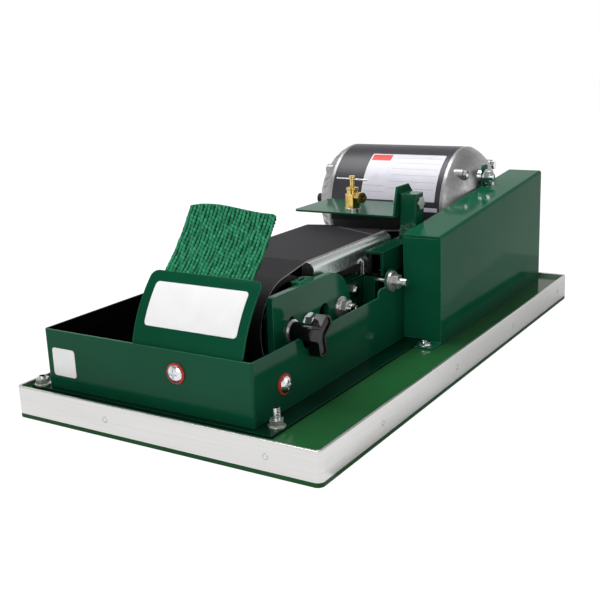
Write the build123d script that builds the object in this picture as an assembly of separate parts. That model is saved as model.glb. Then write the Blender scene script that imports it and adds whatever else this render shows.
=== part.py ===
from build123d import *
import math
import os

# A bench wet belt sander: an abrasive belt runs over two drums and a flat platen inside a shallow
# water tank, driven through a V-belt by an electric motor, all on one trimmed board.
# Millimetres. The origin is the middle of the board's underside, +X to the belt guard's side,
# +Y to the motor, +Z up. Each value below can be set by itself.

# Room along the board, from its front edge to its back edge
tank_front_room = 19.0
tank_to_idler = 115.8
drum_spacing = 218.0
drive_to_motor = 174.0
motor_back_room = 82.8

# Room across the board, from its left edge to its right edge
tank_left_room = 25.6
tank_width = 232.1
tank_right_room = 72.5

# Board and metal edge
board_thickness = 26.0
trim_height = 26.5
trim_wall = 3.0
trim_bottom = 4.0
trim_corner = 6.0
trim_fit = 0.2
trim_rounding = 0.8

# Water tank and the plate under it
tank_plate = 2.5
tank_height = 55.7
tank_wall = 1.6
tank_corner = 2.5
tank_back_room = 12.5
flange_front = 6.5
flange_back = 8.0
flange_left = 17.0
flange_right = 20.5
shelf_rise = 7.3
shelf_corner = 6.0
shelf_front = 27.0
ear_radius = 12.0
hub_notch_room = 4.0
shaft_notch_width = 30.0
shaft_notch_drop = 14.0

# Studs that hold the tank to the board
stud_radius = 3.2
stud_above = 17.0
left_stud_above = 9.0
stud_depth = 15.0
stud_fit = 0.1
stud_washer = 1.6
stud_washer_radius = 7.5
stud_nut = 5.5
stud_nut_flats = 11.1
right_stud_out = 13.5
right_stud_back = 12.0
left_stud_out = 7.9
left_stud_back = 1.5
rear_stud_front = 6.0

# Plugging screws in the tank's walls, with their sealing washers
plug_radius = 2.9
plug_head_radius = 7.6
plug_head = 3.2
plug_rim = 0.8
plug_crown = 2.5
plug_cross = 8.0
plug_cross_width = 1.7
plug_cross_depth = 1.6
plug_nut_flats = 11.0
plug_nut = 4.0
seal_radius = 9.2
seal_thickness = 1.6
front_plug_offset = -9.65
front_plug_height = 34.1
side_plug_back = 45.1
side_plug_height = 22.2

# Splash guard: a sheet that leans back from the front wall
splash_width = 116.7
splash_centre = 24.05
splash_sheet = 1.5
splash_flange = 32.0
splash_drop = 2.2
splash_radius = 124.0
splash_lean_angle = 15.0
splash_end_angle = 47.6
splash_corner = 7.0

# Cloth flap behind the splash guard
cloth_width = 94.0
cloth_offset = -1.45
cloth_thickness = 3.0
cloth_gap = 0.3
cloth_start_angle = 28.0
cloth_top_angle = 32.0
cloth_bend_radius = 240.0
cloth_corner = 6.0

# Drums and abrasive belt
drum_radius = 45.0
drum_rim = 6.0
drum_web = 8.0
drum_hub_radius = 26.0
drum_hub_inset = 2.6
drum_hole_radius = 5.0
drum_holes = 6
drum_hole_circle = 32.5
belt_width = 95.25
belt_overhang = 1.0
belt_thickness = 1.2
belt_gap = 0.3
drum_floor_room = 3.4

# Pieces beside the drums, from the drum's right face to the tank's right wall
drum_side_room = 4.0
side_plate_thickness = 5.5
arm_side_room = 5.15
arm_thickness = 6.35
arm_wall_room = 17.0
slip_gap = 0.2
shaft_fit = 0.05

# Tension arm
pivot_behind_idler = 59.5
pivot_above_idler = 3.5
knob_ahead_of_idler = 26.5
knob_above_idler = 3.7
arm_front = 55.0
arm_above_idler = 40.5
arm_below_idler = 14.0
arm_end_radius = 38.0
arm_end_ahead_of_pivot = 18.5
arm_corner = 5.0
arm_notch_width = 18.0
arm_notch_height = 15.0
arm_slot_length = 16.0
arm_slot_room = 0.8
ear_tab_width = 12.0
ear_tab_thickness = 3.0
ear_tab_length = 25.0
ear_tab_front = 0.0
ear_tab_slot = 4.5

# Idler axle and bearings
axle_radius = 8.5
axle_shoulder_radius = 12.0
axle_thread_radius = 8.0
axle_nut_flats = 24.0
axle_nut_thickness = 8.0
axle_washer = 2.0
axle_end = 2.2
idler_bearing_radius = 20.0
idler_bearing_width = 12.0
bearing_recess = 1.0
idler_bore_room = 1.0
ring_thickness = 1.2
ring_radius = 11.0

# Fixed side plate
side_plate_front = 44.0
side_plate_top = 24.0
side_plate_bottom = 14.0
side_plate_back_room = 3.0
axle_window_room = 8.5
side_plate_corner = 8.0

# Pivot bolt, clamping stud and knob
pivot_radius = 4.76
pivot_head_flats = 14.3
pivot_head = 5.5
pivot_nut_flats = 14.3
pivot_nut = 6.0
pivot_end = 4.0
fender_radius = 11.0
fender_thickness = 1.6
plain_washer_radius = 9.0
clamp_radius = 4.76
clamp_washer_radius = 11.0
clamp_washer = 1.3
knob_hub_radius = 9.0
knob_lobe_reach = 20.5
knob_lobe_width = 13.0
knob_lobe_depth = 11.0
knob_wall_room = 0.9
knob_angle = -81.0
knob_lobes = 3
knob_core = 2.0
knob_rounding = 1.6
stud_in_knob = 5.0

# Welded drum frame: leg, channel, web and lug
leg_side = 16.0
leg_wall = 2.0
leg_behind_pivot = 69.5
leg_pad = 4.0
pad_thickness = 3.0
channel_width = 20.0
channel_height = 24.5
channel_wall = 3.0
channel_left_step = 3.5
channel_ahead_of_leg = 4.0
channel_room = 5.5
channel_back = 48.0
web_thickness = 4.0
web_front = 56.0
lug_thickness = 4.0
lug_length = 36.0
lug_height = 39.0
lug_above_leg = 1.0
lug_bolt_back = 11.0
lug_bolt_inset = 10.0
frame_bolt_radius = 4.0
frame_bolt_flats = 12.7
frame_bolt_head = 5.0

# Bolt that ties the frame's leg to the tank's wall
tie_below_leg_top = 5.0
tie_radius = 4.0
tie_washer_radius = 10.4
tie_nut = 6.5
tie_end = 8.0
tie_washers = 2

# Platen
platen_rise = 6.0
platen_sheet = 1.6
platen_bend = 8.0
platen_front_room = 33.0
platen_back_room = 28.0
platen_inset = 2.0
platen_flange = 18.5
platen_tab_width = 10.0
platen_tab_drop = 27.0
platen_rear_tab = 17.0
tongue_width = 12.0
tongue_ahead_of_leg = 7.5
tongue_rise = 1.0
tongue_leg_room = 0.6
tongue_lap = 2.4

# Bearing housing and drive shaft
housing_radius = 24.0
housing_flange_radius = 36.0
housing_flange = 6.0
housing_left_room = 3.5
housing_right_room = 2.0
housing_bolts = 4
housing_bolt_circle = 30.0
housing_bolt_radius = 3.0
housing_bolt_flats = 10.0
housing_bolt_head = 4.5
housing_bolt_angle = 45.0
housing_bore = 15.0
shaft_radius = 7.5
drive_bearing_radius = 17.5
drive_bearing_width = 11.0
housing_lip = 1.0
housing_room = 0.2

# Pulleys and V-belt
pulley_plane = 20.4
drive_pulley_radius = 50.0
motor_pulley_radius = 25.0
pulley_width = 18.0
pulley_hub_length = 27.0
pulley_hub_radius = 14.0
groove_depth = 11.0
groove_mouth = 13.0
groove_floor = 6.0
vbelt_top = 12.0
vbelt_bottom = 7.0
vbelt_height = 7.5
vbelt_sink = 0.5
pulley_web = 8.0
pulley_rim = 18.0
shaft_past_hub = 1.5

# Belt guard
guard_gap = 0.4
guard_width = 41.3
guard_sheet = 1.6
guard_front_room = 61.4
guard_back_room = 16.7
guard_over_drive = 7.4
guard_over_motor = 10.6
guard_lip = 12.0
guard_bend = 3.0
guard_foot_width = 20.4
guard_foot_length = 21.0
guard_stud_inset = 8.0
guard_stud_out = 13.5
guard_seam = 0.8
guard_seam_drop = 2.2
guard_step_room = 0.6
guard_ear_width = 17.0
guard_ear_rise = 18.0
guard_ear_ahead = 19.0
guard_ear_bolt_drop = 8.0
guard_ear_bolt_radius = 4.0
guard_ear_bolt_flats = 13.0

# Motor
rail_side = 25.4
rail_wall = 2.5
rail_length = 150.0
motor_radius = 70.5
motor_under_room = 5.7
motor_shell_wall = 3.0
motor_shell_length = 145.3
guard_to_bell = 4.7
drive_bell_depth = 30.0
rear_bell_depth = 26.0
bell_wall = 4.0
bell_shoulder = 4.0
drive_face_inset = 30.5
rear_face_inset = 18.5
bell_hub_radius = 21.0
bell_curve_radius = 45.0
bell_boss_radius = 6.5
bell_boss_inset = 9.0
drive_boss_drop = 10.0
rear_boss_drop = 7.5
bell_vents = 8
bell_vent_width = 8.0
bell_vent_length = 14.0
rim_grooves = 36
rim_groove_width = 4.6
rim_groove_depth = 1.6
through_bolt_radius = 2.5
through_bolt_flats = 9.5
through_bolt_head = 4.5
through_bolt_end = 1.0
through_bolts = 4
through_bolt_angle = 45.0
motor_shaft_radius = 6.35
motor_bearing_radius = 16.0
motor_bearing_width = 10.0
bell_face_wall = 3.5
bell_shaft_room = 1.6
stator_inset = 27.0
stator_fit = 0.1
coil_length = 12.0
coil_bolt_room = 3.0
rotor_radius = 30.8
coil_rotor_room = 5.2
rotor_gap = 0.5
rotor_ring_radius = 26.0
rotor_ring = 4.0
motor_foot = 3.0
motor_foot_length = 100.0
motor_foot_width = 144.0
motor_foot_corner = 6.0
foot_bolt_along = 70.0
foot_bolt_across = 108.0
foot_bolt_radius = 4.0
foot_bolt_flats = 12.7
foot_bolt_head = 5.5
foot_slot = 6.0
saddle_foot = 42.5
saddle_top = 36.0
saddle_wall = 3.0
saddle_fit = 0.1
gland_radius = 4.5
gland_length = 6.0
gland_collar = 1.5
gland_angle = 172.0
gland_edge_room = 0.3

# Hood on its post, with the water valve
post_side = 19.0
post_wall = 2.0
post_height = 45.5
post_ahead_of_drive = 14.0
weld_size = 4.0
hood_axis_drop = 10.5
hood_sheet = 2.0
hood_gap = 0.6
hood_width = 125.0
hood_front = 22.0
hood_back = 58.0
hood_below_axis = 11.5
hood_upright = 18.0
hood_upright_front = 13.0
hood_upright_back = 24.0
hood_clip = 10.0
hood_corner = 6.0
hood_bolt_radius = 4.0
hood_bolt_flats = 12.7
hood_bolt_head = 5.5
hood_nut = 6.0
curtain_thickness = 2.5
curtain_drop = 13.0
curtain_behind_axis = 13.5
curtain_inset = 27.5
curtain_right_room = 4.0

# Water valve
valve_left_of_post = 61.0
valve_ahead_of_axis = 2.0
valve_ring_radius = 8.8
valve_ring = 2.5
valve_hex_flats = 15.5
valve_hex = 15.0
valve_neck_radius = 5.9
valve_neck = 5.0
valve_cap_radius = 6.6
valve_cap = 2.1
valve_port_radius = 4.0
valve_port_length = 20.0
valve_port_angle = -30.0
valve_port_height = 15.5
valve_port_bore_radius = 2.2
valve_port_bore = 10.8
port_nut_flats = 11.0
port_nut = 6.5
valve_shank_radius = 4.8
valve_shank = 2.0
stem_radius = 2.3
stem_rise = 13.0
stem_head_radius = 3.2
stem_head = 2.4
stem_depth = 16.0
handle_radius = 1.0
handle_length = 41.0
handle_below_top = 3.8
handle_angle = -8.0

# Places worked out from the values above
base_width = tank_left_room + tank_width + tank_right_room
base_length = tank_front_room + tank_to_idler + drum_spacing + drive_to_motor + motor_back_room
board_top = board_thickness
tank_right = base_width / 2 - tank_right_room
tank_left = tank_right - tank_width
tank_front = -base_length / 2 + tank_front_room
idler_y = tank_front + tank_to_idler
drive_y = idler_y + drum_spacing
motor_y = drive_y + drive_to_motor
belt_radius = drum_radius + belt_gap + belt_thickness
tank_back = drive_y + belt_radius + tank_back_room
tank_bottom = board_top + tank_plate
tank_floor = tank_bottom + tank_wall
tank_top = tank_bottom + tank_height
axis_z = tank_floor + drum_floor_room + belt_radius

arm_right = tank_right - tank_wall - arm_wall_room
arm_left = arm_right - arm_thickness
side_right = arm_left - arm_side_room
side_left = side_right - side_plate_thickness
drum_right = side_left - drum_side_room
drum_width = belt_width - 2 * belt_overhang
drum_left = drum_right - drum_width
belt_centre = (drum_left + drum_right) / 2
belt_left = belt_centre - belt_width / 2
belt_right = belt_centre + belt_width / 2

pivot_y = idler_y + pivot_behind_idler
pivot_z = axis_z + pivot_above_idler
knob_y = idler_y - knob_ahead_of_idler
knob_z = axis_z + knob_above_idler

leg_y = pivot_y + leg_behind_pivot
channel_top = axis_z + housing_flange_radius + channel_room + channel_wall
channel_bottom = channel_top - channel_height
channel_left = side_right + channel_left_step
channel_right = channel_left + channel_width
channel_front = leg_y - channel_ahead_of_leg
tongue_front = leg_y - tongue_ahead_of_leg
web_left = channel_left
web_right = web_left + web_thickness
tie_z = channel_bottom - tie_below_leg_top
lug_bolt_y = leg_y - leg_side / 2 - lug_length + lug_bolt_back
lug_top = channel_bottom + lug_above_leg

platen_top = axis_z + drum_radius + belt_gap + platen_rise
platen_front = idler_y + platen_front_room
platen_back = drive_y - platen_back_room
platen_bolt_z = platen_top - platen_flange - platen_tab_drop + platen_tab_width / 2

pulley_x = tank_right + pulley_plane
housing_left = drum_right + housing_left_room
housing_right = tank_right - tank_wall - housing_right_room

guard_left = tank_right + guard_gap
guard_right = guard_left + guard_width
guard_front = drive_y - guard_front_room
guard_back = base_length / 2 - guard_back_room
motor_z = board_top + rail_side + motor_under_room + motor_radius
guard_front_top = axis_z + drive_pulley_radius + guard_over_drive
guard_back_top = motor_z + motor_pulley_radius + guard_over_motor
guard_slope = (guard_back_top - guard_front_top) / (guard_back - guard_front)
guard_ear_y = motor_y - guard_ear_ahead

shell_right = guard_left - guard_to_bell - drive_bell_depth
shell_left = shell_right - motor_shell_length
foot_centre = (shell_left + shell_right) / 2
drive_face_radius = motor_radius - drive_face_inset
rear_face_radius = motor_radius - rear_face_inset
bolt_circle = motor_radius - bell_boss_inset
coil_outer = bolt_circle - through_bolt_radius - coil_bolt_room
coil_inner = rotor_radius + coil_rotor_room

post_left = channel_left
post_right = post_left + post_side
post_y = drive_y - post_ahead_of_drive + post_side / 2
post_top = channel_top + post_height
hood_axis_z = post_top - hood_axis_drop
upright_right = post_left - hood_gap
upright_left = upright_right - hood_sheet
hood_left = upright_right - hood_width
hood_top = hood_axis_z - hood_below_axis
hood_under = hood_top - hood_sheet
valve_x = post_left - valve_left_of_post
valve_y = post_y - valve_ahead_of_axis


# Building blocks

def block(x0, x1, y0, y1, z0, z1):
    """A box between two corners."""
    middle = Pos((x0 + x1) / 2, (y0 + y1) / 2, (z0 + z1) / 2)
    return middle * Box(x1 - x0, y1 - y0, z1 - z0)


def across(x0, x1, sketch):
    """A sketch drawn in (y, z), extruded along X."""
    return extrude(Plane.YZ.offset(x0) * sketch, x1 - x0, dir=(1, 0, 0))


def upward(z0, z1, sketch):
    """A sketch drawn in (x, y), extruded along Z."""
    return extrude(Plane.XY.offset(z0) * sketch, z1 - z0, dir=(0, 0, 1))


def bar_x(x0, x1, radius, y, z):
    """A round bar along X."""
    return across(x0, x1, Pos(y, z) * Circle(radius))


def ring_x(x0, x1, outer, inner, y, z):
    """A washer or tube along X."""
    return across(x0, x1, Pos(y, z) * (Circle(outer) - Circle(inner)))


def hex_x(x0, x1, flats, y, z):
    """A hexagon bar along X."""
    return across(x0, x1, Pos(y, z) * RegularPolygon(flats / 2, 6, major_radius=False))


def nut_x(x0, x1, flats, bore, y, z):
    """A hexagon nut along X."""
    return hex_x(x0, x1, flats, y, z) - bar_x(x0, x1, bore, y, z)


def bar_z(z0, z1, radius, x, y):
    """A round bar along Z."""
    return upward(z0, z1, Pos(x, y) * Circle(radius))


def ring_z(z0, z1, outer, inner, x, y):
    """A washer along Z."""
    return upward(z0, z1, Pos(x, y) * (Circle(outer) - Circle(inner)))


def hex_z(z0, z1, flats, x, y):
    """A hexagon bar along Z."""
    return upward(z0, z1, Pos(x, y) * RegularPolygon(flats / 2, 6, major_radius=False))


def turned(points, y, z):
    """An outline of (x, radius) points turned about an X axis."""
    profile = make_face(Polyline(*points, close=True))
    return Pos(0, y, z) * revolve(profile, Axis.X)


def around(count, radius, y, z, start=0.0):
    """Places spaced evenly round a circle in (y, z)."""
    places = []
    for i in range(count):
        angle = math.radians(start + 360.0 * i / count)
        places.append((y + radius * math.cos(angle), z + radius * math.sin(angle)))
    return places


def group(solids):
    """Separate solids kept in one piece list."""
    return Compound(children=list(solids))


# Board and its metal edge

def tank_stud_places():
    """The four studs beside the tank, the two at the right first, as (x, y)."""
    right = tank_right + right_stud_out
    left = tank_left - left_stud_out
    return [
        (right, tank_front + right_stud_back),
        (right, tank_back - rear_stud_front),
        (left, tank_front - left_stud_back),
        (left, tank_back - rear_stud_front),
    ]


def guard_stud_places():
    """The studs at the guard's two feet, as (x, y)."""
    x = guard_right - guard_foot_width + guard_stud_inset
    return [(x, guard_front - guard_stud_out), (x, guard_back - guard_stud_out)]


def make_base_board():
    inset = 2 * (trim_wall + trim_fit)
    corner = trim_corner - trim_wall
    board = upward(0, board_top, RectangleRounded(base_width - inset, base_length - inset, corner))
    board += upward(0, trim_bottom, RectangleRounded(base_width, base_length, trim_corner))
    for x, y in tank_stud_places() + guard_stud_places():
        board -= bar_z(board_top - stud_depth, board_top, stud_radius + stud_fit, x, y)
    return board


def make_edge_trim():
    outer = RectangleRounded(base_width, base_length, trim_corner)
    inner = RectangleRounded(base_width - 2 * trim_wall, base_length - 2 * trim_wall,
                             trim_corner - trim_wall)
    band = upward(trim_bottom, trim_bottom + trim_height, outer - inner)
    return fillet(band.edges().group_by(Axis.Z)[-1], trim_rounding)


# Water tank

def make_tank_base_plate():
    plate = block(tank_left - flange_left, tank_right + flange_right,
                  tank_front - flange_front, tank_back + flange_back, board_top, tank_bottom)
    for x, y in tank_stud_places():
        plate -= bar_z(board_top, tank_bottom, stud_radius + stud_fit, x, y)
    return plate


def wall_shelf():
    """The raised part of the right wall, with the ear round the tie bolt, in (y, z)."""
    front = leg_y - shelf_front
    back = guard_front + shelf_front
    top = tank_top + shelf_rise
    low = tank_top - tank_wall
    shelf = make_face([
        Line((front, low), (front, top - shelf_corner)),
        RadiusArc((front, top - shelf_corner), (front + shelf_corner, top), shelf_corner),
        Line((front + shelf_corner, top), (back, top)),
        Line((back, top), (back, low)),
        Line((back, low), (front, low)),
    ])
    ear = Pos(leg_y, tie_z) * Circle(ear_radius)
    neck = Pos(leg_y, (low + tie_z) / 2) * Rectangle(2 * ear_radius, tie_z - low)
    return shelf + ear + neck


def make_water_tank():
    outer = block(tank_left, tank_right, tank_front, tank_back, tank_bottom, tank_top)
    outer = fillet(outer.edges().filter_by(Axis.Z), tank_corner)
    inner = block(tank_left + tank_wall, tank_right - tank_wall, tank_front + tank_wall,
                  tank_back - tank_wall, tank_floor, tank_top)
    inner = fillet(inner.edges().filter_by(Axis.Z), tank_corner - tank_wall)
    tank = outer - inner + across(tank_right - tank_wall, tank_right, wall_shelf())
    notch = knob_hub_radius + hub_notch_room
    through = (tank_right - 2 * tank_wall, tank_right + tank_wall)
    tank -= bar_x(*through, notch, knob_y, knob_z)
    tank -= block(*through, knob_y - notch, knob_y + notch, knob_z, tank_top + notch)
    half = shaft_notch_width / 2
    slot_floor = axis_z - shaft_notch_drop
    tank -= block(*through, drive_y - half, drive_y + half, slot_floor, tank_top + shelf_rise)
    tank -= bar_x(*through, tie_radius + slip_gap, leg_y, tie_z)
    tank -= bar_x(*through, plug_radius + stud_fit, *side_plug_place())
    x, z = front_plug_place()
    hole = Pos(x, tank_front, z) * Rot(90, 0, 0) * Cylinder(plug_radius + stud_fit, 4 * tank_wall)
    return tank - hole


def front_plug_place():
    """The front wall's screw, as (x, z)."""
    return splash_centre + front_plug_offset, tank_floor + front_plug_height


def side_plug_place():
    """The right wall's screw, as (y, z)."""
    return tank_front + side_plug_back, tank_floor + side_plug_height


def make_tank_studs():
    studs = []
    for x, y in tank_stud_places():
        above = stud_above if x > tank_right else left_stud_above
        studs.append(bar_z(board_top - stud_depth, tank_bottom + above, stud_radius, x, y))
    return group(studs)


def washer_and_nut(z, x, y):
    """A washer and a nut on an upright stud, seated at height z."""
    bore = stud_radius + stud_fit
    washer = ring_z(z, z + stud_washer, stud_washer_radius, bore, x, y)
    low = z + stud_washer
    nut = hex_z(low, low + stud_nut, stud_nut_flats, x, y) - bar_z(low, low + stud_nut, bore, x, y)
    return [washer, nut]


def make_tank_nuts():
    pieces = []
    for x, y in tank_stud_places():
        pieces += washer_and_nut(tank_bottom, x, y)
    return group(pieces)


def plug_screw(inside):
    """A plugging screw along +X with its head's seat at x = 0, and its nut behind the wall."""
    dome = make_face([
        Line((0, 0), (0, plug_head_radius)),
        Line((0, plug_head_radius), (plug_rim, plug_head_radius)),
        RadiusArc((plug_rim, plug_head_radius), (plug_head, plug_crown), plug_head_radius),
        Line((plug_head, plug_crown), (plug_head, 0)),
        Line((plug_head, 0), (0, 0)),
    ])
    head = revolve(dome, Axis.X)
    half = plug_cross / 2
    thin = plug_cross_width / 2
    floor = plug_head - plug_cross_depth
    head -= block(floor, plug_head, -half, half, -thin, thin)
    head -= block(floor, plug_head, -thin, thin, -half, half)
    shank = bar_x(-inside - plug_nut, 0, plug_radius, 0, 0)
    nut = nut_x(-inside - plug_nut, -inside, plug_nut_flats, plug_radius + stud_fit, 0, 0)
    return [head + shank, nut]


def front_wall_frame():
    """Turns a screw along +X to face the front wall's outside."""
    x, z = front_plug_place()
    return Pos(x, tank_front - seal_thickness, z) * Rot(0, 0, -90)


def side_wall_frame():
    """Turns a screw along +X to face the right wall's outside."""
    y, z = side_plug_place()
    return Pos(tank_right + seal_thickness, y, z)


def make_drain_screws():
    front = plug_screw(seal_thickness + tank_wall + splash_sheet)
    side = plug_screw(seal_thickness + tank_wall)
    pieces = [front_wall_frame() * piece for piece in front]
    pieces += [side_wall_frame() * piece for piece in side]
    return group(pieces)


def make_sealing_washers():
    washer = ring_x(-seal_thickness, 0, seal_radius, plug_radius + stud_fit, 0, 0)
    return group([front_wall_frame() * washer, side_wall_frame() * washer])


# Splash guard and its cloth flap

splash_foot_y = tank_front + tank_wall
splash_foot_z = tank_top - splash_drop
bend_y = splash_foot_y + splash_radius * math.cos(math.radians(splash_lean_angle))
bend_z = splash_foot_z - splash_radius * math.sin(math.radians(splash_lean_angle))


def bend_point(radius, angle):
    """A point of the splash guard's bend, in (y, z)."""
    turn = math.radians(angle)
    return bend_y - radius * math.cos(turn), bend_z + radius * math.sin(turn)


def bend_arc(radius, start, end):
    """An arc of the splash guard's bend between two leaning angles."""
    middle = (start + end) / 2
    return ThreePointArc(bend_point(radius, start), bend_point(radius, middle),
                         bend_point(radius, end))


def make_splash_guard():
    front = splash_radius
    back = splash_radius - splash_sheet
    sheet = make_face([
        bend_arc(front, splash_lean_angle, splash_end_angle),
        Line(bend_point(front, splash_end_angle), bend_point(back, splash_end_angle)),
        bend_arc(back, splash_end_angle, splash_lean_angle),
        Line(bend_point(back, splash_lean_angle), bend_point(front, splash_lean_angle)),
    ])
    foot_y = splash_foot_y + splash_sheet / 2
    foot = Pos(foot_y, splash_foot_z - splash_flange / 2) * Rectangle(splash_sheet, splash_flange)
    left = splash_centre - splash_width / 2
    guard = across(left, left + splash_width, sheet + foot)
    x, z = front_plug_place()
    guard -= Pos(x, foot_y, z) * Rot(90, 0, 0) * Cylinder(plug_radius + stud_fit, 4 * splash_sheet)
    top = bend_point(front, splash_end_angle)[1] - splash_sheet
    corners = [e for e in guard.edges() if e.center().Z > top and e.length < 2 * splash_sheet]
    return fillet(corners, splash_corner)


def make_splash_cloth():
    front = splash_radius - splash_sheet - cloth_gap
    back = front - cloth_thickness
    turn = math.radians(splash_end_angle)
    far_y = bend_y - (front + cloth_bend_radius) * math.cos(turn)
    far_z = bend_z + (front + cloth_bend_radius) * math.sin(turn)

    def free_point(radius, angle):
        lean = math.radians(angle)
        return far_y + radius * math.cos(lean), far_z - radius * math.sin(lean)

    def free_arc(radius, start, end):
        middle = (start + end) / 2
        return ThreePointArc(free_point(radius, start), free_point(radius, middle),
                             free_point(radius, end))

    near = cloth_bend_radius
    far = cloth_bend_radius + cloth_thickness
    sheet = make_face([
        bend_arc(front, cloth_start_angle, splash_end_angle),
        free_arc(near, splash_end_angle, cloth_top_angle),
        Line(free_point(near, cloth_top_angle), free_point(far, cloth_top_angle)),
        free_arc(far, cloth_top_angle, splash_end_angle),
        bend_arc(back, splash_end_angle, cloth_start_angle),
        Line(bend_point(back, cloth_start_angle), bend_point(front, cloth_start_angle)),
    ])
    left = splash_centre + cloth_offset - cloth_width / 2
    cloth = across(left, left + cloth_width, sheet)
    top = free_point(far, cloth_top_angle)[1] - cloth_thickness
    corners = [e for e in cloth.edges() if e.center().Z > top and e.length < 2 * cloth_thickness]
    return fillet(corners, cloth_corner)


# Drum frame: leg, channel, web and lug welded together

def make_drum_frame():
    half = leg_side / 2
    leg_right = side_right + leg_side
    leg_front = leg_y - half
    leg_back = leg_y + half
    frame = block(side_right, leg_right, leg_front, leg_back, tank_floor, channel_bottom)
    frame -= block(side_right + leg_wall, leg_right - leg_wall, leg_front + leg_wall,
                   leg_back - leg_wall, tank_floor, channel_bottom - leg_wall)
    back = drive_y + channel_back
    channel = block(channel_left, channel_right, channel_front, back, channel_bottom, channel_top)
    channel -= block(channel_left + channel_wall, channel_right - channel_wall, channel_front,
                     back, channel_bottom, channel_top - channel_wall)
    wall_start = tongue_front + tongue_width + tongue_leg_room
    channel -= block(channel_left, channel_left + channel_wall, channel_front, wall_start, channel_bottom,
                     channel_top - channel_wall)
    frame += channel
    frame += block(channel_left + channel_wall, channel_right - channel_wall, channel_front, leg_back,
                   channel_bottom, channel_bottom + leg_wall)
    web_start = drive_y - web_front
    frame += block(web_left, web_right, web_start, back, tank_floor, channel_top - channel_wall)
    pad_top = tank_floor + pad_thickness
    frame += block(side_right - leg_pad, leg_right + leg_pad, leg_front - leg_pad,
                   leg_back + leg_pad, tank_floor, pad_top)
    frame += block(web_left, channel_right, web_start, back, tank_floor, pad_top)
    frame += block(side_right, side_right + lug_thickness, leg_front - lug_length, leg_front,
                   lug_top - lug_height, lug_top)
    frame -= bar_x(web_left, channel_right, housing_radius + housing_room, drive_y, axis_z)
    for y, z in around(housing_bolts, housing_bolt_circle, drive_y, axis_z, housing_bolt_angle):
        frame -= bar_x(web_left, web_right, housing_bolt_radius + stud_fit, y, z)
    for z in lug_bolt_heights():
        frame -= bar_x(side_right, side_right + lug_thickness, frame_bolt_radius + stud_fit,
                       lug_bolt_y, z)
    frame -= bar_x(side_right, leg_right, tie_radius + stud_fit, leg_y, tie_z)
    frame -= bar_x(web_left, web_right, frame_bolt_radius + stud_fit, platen_rear_y(), platen_bolt_z)
    return frame


def lug_bolt_heights():
    """Heights of the two bolts between the lug and the side plate."""
    return [lug_top - lug_bolt_inset, lug_top - lug_height + lug_bolt_inset]


def make_side_plate():
    back = leg_y - leg_side / 2 - side_plate_back_room
    front = idler_y - side_plate_front
    low = axis_z - side_plate_bottom
    high = axis_z + side_plate_top
    outline = Pos((front + back) / 2, (low + high) / 2) * RectangleRounded(
        back - front, high - low, side_plate_corner)
    window = 2 * (axle_shoulder_radius + axle_window_room)
    outline -= Pos(idler_y, low) * Rectangle(window, 2 * (axis_z - low))
    outline -= Pos(idler_y, axis_z) * Circle(window / 2)
    outline -= Pos(pivot_y, pivot_z) * Circle(pivot_radius + shaft_fit)
    outline -= Pos(knob_y, knob_z) * Circle(clamp_radius + shaft_fit)
    for z in lug_bolt_heights():
        outline -= Pos(lug_bolt_y, z) * Circle(frame_bolt_radius + stud_fit)
    return across(side_left, side_right, outline)


def bolt_and_nut(head_left, grip_right, radius, flats, head, nut, past, y, z):
    """A bolt along X with its head at the left, and its nut at the right."""
    bolt = hex_x(head_left - head, head_left, flats, y, z)
    bolt += bar_x(head_left, grip_right + nut + past, radius, y, z)
    return bolt, nut_x(grip_right, grip_right + nut, flats, radius + shaft_fit, y, z)


def make_side_plate_bolts():
    pieces = []
    for z in lug_bolt_heights():
        pieces += bolt_and_nut(side_left, side_right + lug_thickness, frame_bolt_radius,
                               frame_bolt_flats, frame_bolt_head, frame_bolt_head,
                               frame_bolt_head / 4, lug_bolt_y, z)
    return group(pieces)


def tie_stack():
    """Right faces of the washers and the nut on the tie bolt."""
    washers = [tank_right + (i + 1) * fender_thickness for i in range(tie_washers)]
    return washers, washers[-1] + tie_nut


def make_tie_bolt():
    end = tie_stack()[1] + tie_end
    seat = side_right - platen_sheet
    bolt = hex_x(seat - frame_bolt_head, seat, frame_bolt_flats, leg_y, tie_z)
    return bolt + bar_x(seat, end, tie_radius, leg_y, tie_z)


def make_tie_nut():
    washers, nut_right = tie_stack()
    pieces = []
    for right in washers:
        pieces.append(ring_x(right - fender_thickness, right, tie_washer_radius,
                             tie_radius + shaft_fit, leg_y, tie_z))
    pieces.append(nut_x(washers[-1], nut_right, frame_bolt_flats, tie_radius + shaft_fit, leg_y, tie_z))
    return group(pieces)


# Platen: a bent sheet under the belt's top run

def platen_rear_y():
    """Middle of the platen's rear tab."""
    return platen_back - platen_rear_tab


def make_platen():
    left = belt_left + platen_inset
    right = side_right
    low = platen_top - platen_flange
    bend = platen_bend
    inner = platen_bend - platen_sheet
    section = make_face([
        Line((left, platen_top), (right - bend, platen_top)),
        RadiusArc((right - bend, platen_top), (right, platen_top - bend), bend),
        Line((right, platen_top - bend), (right, low)),
        Line((right, low), (right - platen_sheet, low)),
        Line((right - platen_sheet, low), (right - platen_sheet, platen_top - bend)),
        RadiusArc((right - platen_sheet, platen_top - bend),
                  (right - bend, platen_top - platen_sheet), -inner),
        Line((right - bend, platen_top - platen_sheet), (left, platen_top - platen_sheet)),
        Line((left, platen_top - platen_sheet), (left, platen_top)),
    ])
    plate = extrude(Plane.XZ.offset(-platen_front) * section, -(platen_back - platen_front))
    for y, z in ((leg_y, tie_z), (platen_rear_y(), platen_bolt_z)):
        half = platen_tab_width / 2
        tab = block(right - platen_sheet, right, y - half, y + half, low - platen_tab_drop, low)
        plate += tab
        plate -= bar_x(right - platen_sheet, right, tie_radius + stud_fit, y, z)
    return plate + platen_tongue(right, low + tongue_rise)


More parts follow.
